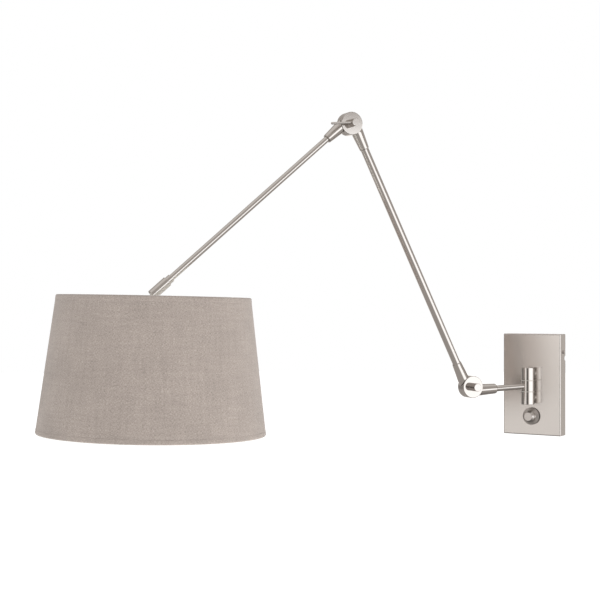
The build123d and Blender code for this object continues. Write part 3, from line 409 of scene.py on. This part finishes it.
def satin_nickel(name, frame_matrix, lines, edge=0.00025, roughness=None, grain=1.0):
    """Satin nickel plate. lines is along, round, or eye: round on the eye's disc and along on its neck."""
    metal = bpy.context.scene.lamp_metal
    material, tree, shader = new_material(name)
    place = place_on(tree, frame_matrix)
    if lines == "along":
        brush = brushed_along(tree, place)
    elif lines == "round":
        brush = brushed_round(tree, place)
    else:
        x, y, _ = parts(tree, place)
        neck = spread(tree, from_axis(tree, x, y), EYE_DISC - MM, EYE_DISC + MM, 0.0, 1.0)
        brush = blended(tree, neck, brushed_round(tree, place), brushed_along(tree, place))
    cloud = noise(tree, place, scale=45.0, detail=4.0)
    base = roughness or metal.nickel_roughness
    lines_rough = spread(tree, brush, 0.25, 0.75, base - 0.03 * grain, base + 0.04 * grain)
    rough = plus(tree, lines_rough, cloud, 0.02)
    tone = plus(tree, varied(tree, brush, 0.98 - 0.05 * grain, 0.98 + 0.05 * grain), cloud, 0.05)
    feed(tree, shader.inputs["Base Color"], tinted(tree, metal.nickel, tone))
    feed(tree, shader.inputs["Roughness"], rough)
    shader.inputs["Metallic"].default_value = 1.0
    bumped(tree, shader, brush, metal.brush_depth * grain, BRUSH_BUMP, edge)
    return material


def plated_steel(name, colour, roughness, scale=900.0):
    """Zinc-plated or galvanised metal, with a fine grain and faint cloudy spangle."""
    material, tree, shader = new_material(name)
    place = place_on(tree, WALL_FRAME)
    grain = noise(tree, place, scale=scale, detail=4.0)
    cells = tree.nodes.new("ShaderNodeTexVoronoi")
    cells.inputs["Scale"].default_value = scale / 6
    tree.links.new(place, cells.inputs["Vector"])
    tone = plus(tree, spread(tree, cells.outputs["Distance"], 0, 1, 0.9, 1.06), grain, 0.06)
    feed(tree, shader.inputs["Base Color"], tinted(tree, colour, tone))
    feed(tree, shader.inputs["Roughness"], varied(tree, grain, roughness - 0.06, roughness + 0.08))
    shader.inputs["Metallic"].default_value = 1.0
    bumped(tree, shader, grain, 0.15, 0.00004, 0.0002)
    return material


def moulded(name, colour, roughness, grain_scale=2600.0, coat=0.0):
    """Moulded plastic or glazed ceramic, with a fine surface grain and faint flow clouds."""
    material, tree, shader = new_material(name)
    place = place_on(tree, WALL_FRAME)
    grain = noise(tree, place, scale=grain_scale, detail=3.0)
    cloud = noise(tree, place, scale=60.0, detail=3.0)
    tone = plus(tree, varied(tree, cloud, 0.95, 1.03), grain, 0.02)
    feed(tree, shader.inputs["Base Color"], tinted(tree, colour, tone))
    feed(tree, shader.inputs["Roughness"], varied(tree, grain, roughness - 0.05, roughness + 0.07))
    shader.inputs["Coat Weight"].default_value = coat
    bumped(tree, shader, grain, 0.12, 0.00003, 0.0003)
    return material


def powder_coat(name, colour):
    """White powder coat on wire, with its slight orange peel."""
    material, tree, shader = new_material(name)
    place = place_on(tree, WALL_FRAME)
    peel = noise(tree, place, scale=1400.0, detail=2.0)
    cloud = noise(tree, place, scale=90.0, detail=2.0)
    feed(tree, shader.inputs["Base Color"], tinted(tree, colour, varied(tree, cloud, 0.94, 1.02)))
    feed(tree, shader.inputs["Roughness"], varied(tree, peel, 0.32, 0.46))
    bumped(tree, shader, peel, 0.25, 0.00006)
    return material


def opal_glass(name):
    """Glass with an even white coating inside."""
    material, tree, shader = new_material(name)
    place = place_on(tree, WALL_FRAME)
    coating = noise(tree, place, scale=120.0, detail=4.0)
    opal = (0.93, 0.92, 0.89)
    feed(tree, shader.inputs["Base Color"], tinted(tree, opal, varied(tree, coating, 0.96, 1.02)))
    feed(tree, shader.inputs["Roughness"], varied(tree, coating, 0.14, 0.22))
    shader.inputs["Coat Weight"].default_value = 0.5
    shader.inputs["Coat Roughness"].default_value = 0.05
    shader.inputs["Subsurface Weight"].default_value = 0.15
    shader.inputs["Subsurface Scale"].default_value = 0.002
    bumped(tree, shader, coating, 0.03, 0.00005)
    return material


def styrene_lining(name, frame_matrix):
    """Smooth white lining sheet, faintly streaked along the roll it was cut from."""
    material, tree, shader = new_material(name)
    place = place_on(tree, frame_matrix)
    streak = noise(tree, scaled(tree, place, 30, 30, 420), detail=3.0)
    fine = noise(tree, place, scale=3000.0)
    warm_white = (0.84, 0.825, 0.79)
    feed(tree, shader.inputs["Base Color"], tinted(tree, warm_white, varied(tree, streak, 0.95, 1.02)))
    feed(tree, shader.inputs["Roughness"], varied(tree, fine, 0.42, 0.55))
    bumped(tree, shader, fine, 0.05, 0.00003)
    return material


def linen(name, colour, thread):
    """Slubbed linen. Its map runs in metres, round the shade and up it."""
    material, tree, shader = new_material(name)
    where = tree.nodes.new("ShaderNodeUVMap")
    where.uv_map = "Cloth"
    across_cloth, up_cloth, _ = parts(tree, where.outputs[0])
    wander = noise(tree, where.outputs[0], scale=14.0, detail=2.0)
    across_cloth = plus(tree, across_cloth, wander, 0.004)
    up_cloth = plus(tree, up_cloth, wander, 0.005)

    def streaks(fine, long, detail=2.0, offset=0.0):
        """Noise drawn out along each thread direction: (upright threads, level threads)."""
        upright = joined(
            tree,
            maths(tree, "MULTIPLY", across_cloth, fine),
            maths(tree, "MULTIPLY", up_cloth, long),
            offset,
        )
        level = joined(
            tree,
            maths(tree, "MULTIPLY", across_cloth, long),
            maths(tree, "MULTIPLY", up_cloth, fine),
            offset + 7.0,
        )
        return noise(tree, upright, detail=detail), noise(tree, level, detail=detail)

    turn = math.pi / thread
    warp = maths(tree, "SINE", maths(tree, "MULTIPLY", across_cloth, turn))
    weft = maths(tree, "SINE", maths(tree, "MULTIPLY", up_cloth, turn))
    weave = maths(tree, "MULTIPLY", warp, weft)
    warp_yarn, weft_yarn = streaks(0.9 / thread, 420.0)
    warp_slub, weft_slub = streaks(700.0, 90.0, detail=3.0, offset=3.0)
    warp_band, weft_band = streaks(210.0, 24.0, offset=5.0)
    over = spread(tree, weave, -0.4, 0.4, 0.0, 1.0)
    yarn = blended(tree, over, warp_yarn, weft_yarn)
    warp_thick = spread(tree, warp_slub, 0.62, 0.76, 0.0, 0.7)
    weft_thick = spread(tree, weft_slub, 0.6, 0.74, 0.0, 1.0)
    slub = maths(tree, "MAXIMUM", warp_thick, weft_thick)
    pale = spread(tree, noise(tree, where.outputs[0], scale=900.0, detail=1.0), 0.735, 0.8, 0.0, 1.0)
    cloud = noise(tree, where.outputs[0], scale=22.0, detail=3.0)
    brightness = varied(tree, yarn, 0.55, 1.45)
    shadings = (
        spread(tree, weave, -1.0, 1.0, 0.94, 1.05),
        spread(tree, warp_band, 0.25, 0.75, 0.96, 1.04),
        spread(tree, weft_band, 0.25, 0.75, 0.96, 1.04),
        varied(tree, cloud, 0.95, 1.05),
        maths(tree, "SUBTRACT", 1.0, maths(tree, "MULTIPLY", slub, 0.16)),
    )
    for shading in shadings:
        brightness = maths(tree, "MULTIPLY", brightness, shading)
    brightness = plus(tree, brightness, pale, 0.3)
    feed(tree, shader.inputs["Base Color"], tinted(tree, colour, brightness))
    feed(tree, shader.inputs["Roughness"], varied(tree, yarn, 0.8, 0.95))
    shader.inputs["Specular IOR Level"].default_value = 0.25
    shader.inputs["Sheen Weight"].default_value = 0.18
    shader.inputs["Sheen Roughness"].default_value = 0.5
    height = plus(tree, maths(tree, "MULTIPLY", weave, 0.35), yarn, 0.5)
    height = plus(tree, height, slub, 0.5)
    bumped(tree, shader, height, 0.45, 0.00025)
    return material


# ---------------------------------------------------------------- the shade's cloth
HALF_CLOTH = 0.35 * MM
RIM_WIRE = 1.5 * MM
RIM_GAP = 0.1 * MM
ROLL = RIM_WIRE + RIM_GAP + HALF_CLOTH
ROLL_STEPS = 9
TURN_IN = 7 * MM
TURN_IN_LEAN = 0.4
HEM = 4.2 * MM
HEM_STEP = 0.22 * MM
HEM_LINES = (0.8 * MM, HEM * 0.6, HEM, HEM + 0.25 * MM, HEM + 0.6 * MM)
WALL_STEPS = 46
ROUNDS = 288
LAP = 10 * MM
LAP_RISE = 0.45 * MM
LAP_START = 0.4 * MM
LAP_END = 1.5 * MM
SEAM_TURN = math.radians(-8)
SEAM_LINES = (0.0, 0.2 * MM, 0.5 * MM, LAP, LAP + 0.8 * MM, LAP + 1.6 * MM)


def rolled_edge(centre_r, centre_h, side):
    """Half turn of cloth over a rim wire, from its outside to its inside; side is 1 for the top rim."""
    return [
        (
            centre_r + ROLL * math.cos(math.pi * step / ROLL_STEPS),
            centre_h + side * ROLL * math.sin(math.pi * step / ROLL_STEPS),
        )
        for step in range(ROLL_STEPS + 1)
    ]


def cloth_line(shade):
    """Middle line of the cloth in section, (radius, height) in metres.

    It starts inside the top rim, goes over it and down the shade, and ends inside the bottom rim.
    """
    flare = (shade.bottom_radius - shade.top_radius) / shade.height
    lean = flare * TURN_IN * TURN_IN_LEAN
    top, bottom = -shade.drop, -shade.drop - shade.height

    def wall(height):
        return shade.top_radius + (top - height) * flare - HALF_CLOTH

    def hem_point(height, from_rim):
        """On the hem's double cloth, or a step lower on the single cloth past it."""
        return (wall(height) - (HEM_STEP if from_rim > HEM else 0), height)

    over_top = rolled_edge(wall(top - ROLL) - ROLL + HALF_CLOTH / 2, top - ROLL - HALF_CLOTH, 1)
    under_bottom = rolled_edge(wall(bottom + ROLL) - ROLL, bottom + ROLL + HALF_CLOTH, -1)
    hem_top, hem_bottom = over_top[0][1], under_bottom[0][1]
    line = [(over_top[-1][0] + lean, over_top[-1][1] - TURN_IN)]
    line += reversed(over_top)
    line += [hem_point(hem_top - below, below) for below in HEM_LINES]
    for step in range(1, WALL_STEPS):
        height = hem_top + (hem_bottom - hem_top) * step / WALL_STEPS
        line.append((wall(height) - HEM_STEP, height))
    line += [hem_point(hem_bottom + above, above) for above in reversed(HEM_LINES)]
    line += under_bottom
    line.append((under_bottom[-1][0] - lean, under_bottom[-1][1] + TURN_IN))
    return line


def section_normals(line):
    normals = []
    for i in range(len(line)):
        before, after = line[max(i - 1, 0)], line[min(i + 1, len(line) - 1)]
        run, rise = after[0] - before[0], after[1] - before[1]
        length = math.hypot(run, rise) or 1.0
        normals.append((-rise / length, run / length))
    return normals


def lap_lift(turn, radius):
    """How far the cloth stands out where its end laps over its start."""
    along = ((turn - SEAM_TURN) % (2 * math.pi)) * radius
    if along > LAP + LAP_END:
        return 0.0
    return LAP_RISE * min(1.0, (LAP + LAP_END - along) / LAP_END, along / LAP_START)


def cloth_turns(middle_r):
    """Turns about the shade's axis: an even ring of them, and closer ones at the lap."""
    turns = [2 * math.pi * k / ROUNDS for k in range(ROUNDS)]
    seam = [SEAM_TURN + along / middle_r for along in SEAM_LINES]
    return sorted({round(t % (2 * math.pi), 6) for t in turns + seam})


def cloth_faces(turns, count):
    """Faces of the two sides and both cut edges, each with its corners as (turn, place on the line)."""
    faces = []
    corners = []
    total = len(turns)
    for k in range(total):
        a, b = k * 2 * count, ((k + 1) % total) * 2 * count
        turn_a = turns[k]
        turn_b = turns[k + 1] if k + 1 < total else turns[0] + 2 * math.pi
        for i in range(count - 1):
            outer = (a + i, a + i + 1, b + i + 1, b + i)
            inner = (a + count + i, b + count + i, b + count + i + 1, a + count + i + 1)
            faces += [outer, inner]
            ends = [(turn_a, i), (turn_a, i + 1), (turn_b, i + 1), (turn_b, i)]
            corners += [ends, [ends[0], ends[3], ends[2], ends[1]]]
        for i in (0, count - 1):
            rim = (a + i, b + i, b + count + i, a + count + i)
            ends = [(turn_a, i), (turn_b, i), (turn_b, i), (turn_a, i)]
            if i:
                rim, ends = rim[::-1], ends[::-1]
            faces.append(rim)
            corners.append(ends)
    return faces, corners


def make_cloth(shade, frame_matrix):
    """The shade's linen: one closed thin sheet, rolled over both rims, lapped at its seam."""
    line = cloth_line(shade)
    normals = section_normals(line)
    middle_r = (shade.top_radius + shade.bottom_radius) / 2
    lengths = [0.0]
    for here, there in zip(line, line[1:]):
        lengths.append(lengths[-1] + math.dist(here, there))
    turns = cloth_turns(middle_r)
    vertices = []
    for turn in turns:
        for side in (1, -1):
            for (radius, height), (nr, nh) in zip(line, normals):
                push = side * HALF_CLOTH + (lap_lift(turn, radius) if side > 0 else 0.0)
                r, h = radius + nr * push, height + nh * push
                vertices.append(frame_matrix @ Vector((r * math.cos(turn), r * math.sin(turn), h)))
    faces, corners = cloth_faces(turns, len(line))
    mesh = bpy.data.meshes.new("shade_linen")
    mesh.from_pydata(vertices, [], faces)
    cloth_map = mesh.uv_layers.new(name="Cloth")
    places = [(turn * middle_r, lengths[i]) for ends in corners for turn, i in ends]
    for loop, place in zip(cloth_map.data, places):
        loop.uv = place
    mesh.shade_smooth()
    mesh.set_sharp_from_angle(angle=math.radians(50))
    mesh.validate()
    cloth = bpy.data.objects.new("shade_linen", mesh)
    bpy.context.scene.collection.objects.link(cloth)
    return cloth


# ---------------------------------------------------------------- operators
class LAMP_OT_wall_unit(bpy.types.Operator):
    """Finish the back plate, its hinge barrel, what is behind them and the wiring"""

    bl_idname = "lamp.wall_unit"
    bl_label = "Wall unit"

    def execute(self, context):
        metal = context.scene.lamp_metal
        upright = axes(Vector((0, 0, 0)), UP, Vector((0, -1, 0)))
        dress(
            ["wall_cover"],
            satin_nickel("nickel_plate", upright, "along", edge=0.0006, roughness=0.2, grain=0.12),
        )
        dress(
            ["upper_knuckle", "lower_knuckle", "swing_knuckle"],
            satin_nickel("nickel_barrel", HINGE_FRAME, "round", roughness=0.09),
        )
        dress(["cover_screws"], satin_nickel("nickel_screw", WALL_FRAME, "round"))
        dress(
            ["mounting_bracket", "backing_plate"],
            plated_steel("galvanised_sheet", metal.steel, 0.38, scale=260.0),
        )
        dress(
            ["knuckle_nuts", "hinge_pins", "dimmer_nut", "terminal_screws"],
            plated_steel("zinc_plate", metal.steel, 0.3),
        )
        brass = plated_steel("plain_brass", metal.brass, 0.28)
        dress(["earth_screw", "terminal_inserts", "screw_shell", "holder_contact"], brass)
        dress(["terminal_block"], moulded("terminal_plastic", (0.83, 0.82, 0.78), 0.45))
        dress(["dimmer_body", "dimmer_back"], moulded("dimmer_plastic", (0.03, 0.03, 0.032), 0.45))
        lead = moulded("flex_sheath", (0.7, 0.69, 0.65), 0.35, grain_scale=900.0)
        flexes = ["wall_flex", "swing_flex", "lower_arm_flex", "upper_arm_flex", "head_flex"]
        dress(flexes + ["dimmer_leads"], lead)
        return {"FINISHED"}


class LAMP_OT_dimmer(bpy.types.Operator):
    """Finish the dimmer's knob and shaft, and the nylon plunger, washers and rings"""

    bl_idname = "lamp.dimmer"
    bl_label = "Dimmer knob"

    def execute(self, context):
        metal = context.scene.lamp_metal
        dress(["dimmer_knob"], satin_nickel("nickel_knob", DIAL_FRAME, "round", roughness=0.3))
        dress(["dimmer_shaft"], plated_steel("shaft_steel", metal.steel, 0.25))
        nylon = moulded("natural_nylon", (0.78, 0.76, 0.7), 0.4)
        dress(["dimmer_plunger", "hinge_washers", "lower_elbow_ring", "upper_elbow_ring"], nylon)
        return {"FINISHED"}


class LAMP_OT_arms(bpy.types.Operator):
    """Finish the arms' tubes, elbows, bolts, clamp and springs"""

    bl_idname = "lamp.arms"
    bl_label = "Arms and elbows"

    def execute(self, context):
        metal = context.scene.lamp_metal
        tube = {"lines": "along", "roughness": 0.1, "grain": 0.3}
        eye = {"lines": "eye", "roughness": 0.07, "grain": 0.35}
        for node, name, place, finish in (
            ("swing_rod", "nickel_rod", SWING_FRAME, tube),
            ("swing_eye", "nickel_swing_eye", SWING_FRAME, eye),
            ("lower_base_eye", "nickel_base_eye", LOWER_FOOT_FRAME, eye),
            ("lower_arm_tube", "nickel_lower_tube", LOWER_FOOT_FRAME, tube),
            ("lower_top_eye", "nickel_top_eye", LOWER_TOP_FRAME, eye),
            ("upper_arm_eye", "nickel_upper_eye", UPPER_FRAME, eye),
            ("upper_arm_tube", "nickel_upper_tube", UPPER_FRAME, tube),
        ):
            dress([node], satin_nickel(name, place, **finish))
        bolt = satin_nickel("nickel_bolt", SWING_FRAME, "round")
        dress(["lower_elbow_bolt", "lower_elbow_nut"], bolt)
        clamp = satin_nickel("nickel_clamp", UPPER_FRAME, "round")
        dress(["clamp_bolt", "clamp_nut", "clamp_washer"], clamp)
        lever_low, lever_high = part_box("clamp_lever")
        lever_x = (lever_low + lever_high) / 2 - UPPER_ELBOW
        dress(["clamp_lever"], satin_nickel("nickel_lever", axes(UPPER_ELBOW, lever_x, PIN), "along"))
        along_arm = axes(HEAD_PIVOT, PIN, UPPER_LINE)
        dress(["upper_arm_collar", "head_sleeve"], satin_nickel("nickel_sleeve", along_arm, "round"))
        dress(
            ["lower_elbow_springs", "clamp_springs", "head_pin"],
            plated_steel("spring_steel", metal.steel, 0.25),
        )
        return {"FINISHED"}


class LAMP_OT_head(bpy.types.Operator):
    """Finish the tongue, the lampholder and the bulb"""

    bl_idname = "lamp.head"
    bl_label = "Lampholder and bulb"

    def execute(self, context):
        shade = context.scene.lamp_shade
        around = head_frame(shade.tilt)
        dress(["head_tongue", "holder_cap"], satin_nickel("nickel_head", around, "round"))
        dress(["holder_body", "shade_ring_nut"], moulded("holder_plastic", (0.82, 0.81, 0.78), 0.35))
        dress(["holder_insert"], moulded("porcelain", (0.86, 0.85, 0.82), 0.15, coat=0.6))
        dress(["bulb_cap", "bulb_contact"], plated_steel("bulb_aluminium", (0.8, 0.8, 0.8), 0.3))
        dress(["bulb_glass"], opal_glass("opal_glass"))
        dress(["shade_spider", "shade_rings"], powder_coat("white_powder_coat", (0.84, 0.83, 0.8)))
        return {"FINISHED"}


class LAMP_OT_shade(bpy.types.Operator):
    """Make the shade's linen, rolled over its rims, and finish its lining"""

    bl_idname = "lamp.shade"
    bl_label = "Linen shade"

    def execute(self, context):
        shade = context.scene.lamp_shade
        around = head_frame(shade.tilt)
        cloth = make_cloth(shade, around)
        cloth.data.materials.append(linen("taupe_linen", shade.linen, shade.thread))
        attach(cloth, "head")
        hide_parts("shade_fabric")
        dress(["shade_liner"], styrene_lining("white_lining", around))
        return {"FINISHED"}


# ---------------------------------------------------------------- the stage
SURROUND = (
    (-180, 0.16),
    (-138, 0.2),
    (-130, 0.84),
    (-92, 0.9),
    (-87, 0.1),
    (-62, 0.12),
    (-50, 0.42),
    (-36, 1.0),
    (20, 1.0),
    (48, 0.75),
    (57, 0.36),
    (72, 0.38),
    (100, 0.7),
    (150, 0.6),
    (165, 0.22),
    (180, 0.16),
)
SURROUND_ABOVE = (0.29, 0.268, 0.252, 1)
SURROUND_OVERHEAD = (0.48, 0.46, 0.44, 1)
SURROUND_BELOW = (0.27, 0.252, 0.238, 1)
SURROUND_UNDERFOOT = (0.10, 0.094, 0.09, 1)
FLOOR_SIDES, FLOOR_REACH = 96, 14.0


def softbox(name, place, target, width, height, watts):
    """An even rectangular light that neither the camera nor the metal shows."""
    light = bpy.data.lights.new(name, "AREA")
    light.shape = "RECTANGLE"
    light.size, light.size_y = width, height
    light.energy = watts
    box = bpy.data.objects.new(name, light)
    box.location = place
    box.rotation_euler = (Vector(target) - Vector(place)).to_track_quat("-Z", "Y").to_euler()
    box.visible_camera = False
    box.visible_glossy = False
    bpy.context.scene.collection.objects.link(box)


def ring_of_light(tree, bearing):
    """Brightness of the room by bearing in turns: white to the right, darker and warmer elsewhere."""
    ramp = tree.nodes.new("ShaderNodeValToRGB")
    elements = ramp.color_ramp.elements
    while len(elements) < len(SURROUND):
        elements.new(0.5)
    for element, (degrees, level) in zip(elements, SURROUND):
        white = level**6
        element.position = degrees / 360 + 0.5
        element.color = (level, level * (0.935 + 0.065 * white), level * (0.88 + 0.12 * white), 1)
    feed(tree, ramp.inputs[0], bearing)
    return ramp.outputs[0]


def mirrored_room(tree):
    """The room as the metal shows it: a pale band at eye level, greyer above and darker below."""
    where = tree.nodes.new("ShaderNodeTexCoord")
    x, y, z = parts(tree, where.outputs["Generated"])
    bearing = maths(tree, "ADD", maths(tree, "DIVIDE", maths(tree, "ARCTAN2", y, x), 2 * math.pi), 0.5)
    band = ring_of_light(tree, bearing)
    level = maths(tree, "ARCSINE", maths(tree, "MINIMUM", 1.0, maths(tree, "MAXIMUM", -1.0, z)))

    def past(first, last, most=1.0):
        """Grows from 0 to most as the level goes from first to last degrees."""
        return spread(tree, level, math.radians(first), math.radians(last), 0.0, most)

    above = mixed(tree, past(40, 62), SURROUND_ABOVE, SURROUND_OVERHEAD)
    below = mixed(tree, past(-35, -65), SURROUND_BELOW, SURROUND_UNDERFOOT)
    front = spread(tree, bearing, 0.5 - 80 / 360, 0.5 - 50 / 360, 1.0, 0.0)
    shaded = maths(tree, "MULTIPLY", front, past(-1, -6, 0.38))
    facing = tinted(tree, band, maths(tree, "SUBTRACT", 1.0, shaded))
    return mixed(tree, past(-11, -19), mixed(tree, past(7.3, 8.0), facing, above), below)


def studio_surround():
    """White for the eye, a room for the metal to mirror, and an even soft light for the rest."""
    world = bpy.data.worlds.new("studio")
    bpy.context.scene.world = world
    world.use_nodes = True
    tree = world.node_tree
    tree.nodes.clear()
    background = {}
    for key, colour, strength in (
        ("seen", (1, 1, 1, 1), 1.0),
        ("mirrored", mirrored_room(tree), 1.5),
        ("soft", (1, 0.99, 0.98, 1), 0.62),
    ):
        shader = tree.nodes.new("ShaderNodeBackground")
        feed(tree, shader.inputs["Color"], colour)
        shader.inputs["Strength"].default_value = strength
        background[key] = shader.outputs[0]
    ray = tree.nodes.new("ShaderNodeLightPath")
    by_gloss = tree.nodes.new("ShaderNodeMixShader")
    feed(tree, by_gloss.inputs[0], ray.outputs["Is Glossy Ray"])
    feed(tree, by_gloss.inputs[1], background["soft"])
    feed(tree, by_gloss.inputs[2], background["mirrored"])
    by_eye = tree.nodes.new("ShaderNodeMixShader")
    feed(tree, by_eye.inputs[0], ray.outputs["Is Camera Ray"])
    feed(tree, by_eye.inputs[1], by_gloss.outputs[0])
    feed(tree, by_eye.inputs[2], background["seen"])
    out = tree.nodes.new("ShaderNodeOutputWorld")
    tree.links.new(by_eye.outputs[0], out.inputs["Surface"])


def pale_floor(level):
    """A wide round floor that glows a little, so that it stays as pale as what is behind it."""
    mesh = bpy.data.meshes.new("floor")
    turns = [2 * math.pi * k / FLOOR_SIDES for k in range(FLOOR_SIDES)]
    ring = [(FLOOR_REACH * math.cos(turn), FLOOR_REACH * math.sin(turn), level) for turn in turns]
    mesh.from_pydata(ring, [], [tuple(range(FLOOR_SIDES))])
    floor = bpy.data.objects.new("floor", mesh)
    bpy.context.scene.collection.objects.link(floor)
    material, tree, shader = new_material("pale_floor")
    speck = noise(tree, place_on(tree, WALL_FRAME), scale=3.0)
    pale = tinted(tree, (0.9, 0.9, 0.9), varied(tree, speck, 0.995, 1.005))
    feed(tree, shader.inputs["Base Color"], pale)
    shader.inputs["Roughness"].default_value = 0.9
    shader.inputs["Specular IOR Level"].default_value = 0.0
    shader.inputs["Emission Color"].default_value = (1, 1, 1, 1)
    shader.inputs["Emission Strength"].default_value = 0.6
    mesh.materials.append(material)
    floor.visible_glossy = False


class LAMP_OT_stage(bpy.types.Operator):
    """Make the floor, the lights and the camera"""

    bl_idname = "lamp.stage"
    bl_label = "Stage"

    def execute(self, context):
        stage = context.scene.lamp_stage
        pale_floor(stage.floor_level)
        studio_surround()
        softbox("right_softbox", (1.35, 0.1, -0.33), (0, 0.1, -0.33), 3.4, 1.75, 26.0)
        softbox("left_softbox", (-1.0, -2.2, 1.0), (-0.3, -0.3, 0.1), 1.0, 1.2, 9.0)
        camera_data = bpy.data.cameras.new("camera")
        camera_data.sensor_width = 36.0
        camera_data.lens = stage.lens
        camera_data.clip_start, camera_data.clip_end = 0.05, 50.0
        camera = bpy.data.objects.new("camera", camera_data)
        camera.location = stage.eye
        camera.rotation_euler = (math.radians(90), 0, stage.eye_turn)
        context.scene.collection.objects.link(camera)
        context.scene.camera = camera
        context.scene.view_settings.view_transform = "Standard"
        return {"FINISHED"}


class LAMP_PT_panel(bpy.types.Panel):
    """Sizes, colours and steps of the wall lamp"""

    bl_idname = "LAMP_PT_panel"
    bl_label = "Wall Lamp"
    bl_space_type = "VIEW_3D"
    bl_region_type = "UI"
    bl_category = "Wall Lamp"

    def draw(self, context):
        for group in ("lamp_metal", "lamp_shade", "lamp_stage"):
            settings = getattr(context.scene, group)
            box = self.layout.box()
            for prop in settings.bl_rna.properties:
                if prop.identifier not in {"rna_type", "name"}:
                    box.prop(settings, prop.identifier)
        for operator in OPERATORS:
            self.layout.operator(operator.bl_idname)


SETTINGS = {
    "lamp_metal": LampMetalSettings,
    "lamp_shade": LampShadeSettings,
    "lamp_stage": LampStageSettings,
}
OPERATORS = (
    LAMP_OT_wall_unit,
    LAMP_OT_dimmer,
    LAMP_OT_arms,
    LAMP_OT_head,
    LAMP_OT_shade,
    LAMP_OT_stage,
)


def register():
    for settings in (*SETTINGS.values(), *OPERATORS, LAMP_PT_panel):
        bpy.utils.register_class(settings)
    for name, settings in SETTINGS.items():
        setattr(bpy.types.Scene, name, bpy.props.PointerProperty(type=settings))


def unregister():
    for name in SETTINGS:
        delattr(bpy.types.Scene, name)
    for settings in reversed((*SETTINGS.values(), *OPERATORS, LAMP_PT_panel)):
        bpy.utils.unregister_class(settings)


def main():
    register()
    for operator in OPERATORS:
        group, step = operator.bl_idname.split(".")
        getattr(getattr(bpy.ops, group), step)()
    bpy.context.view_layer.update()


if __name__ == "__main__":
    main()
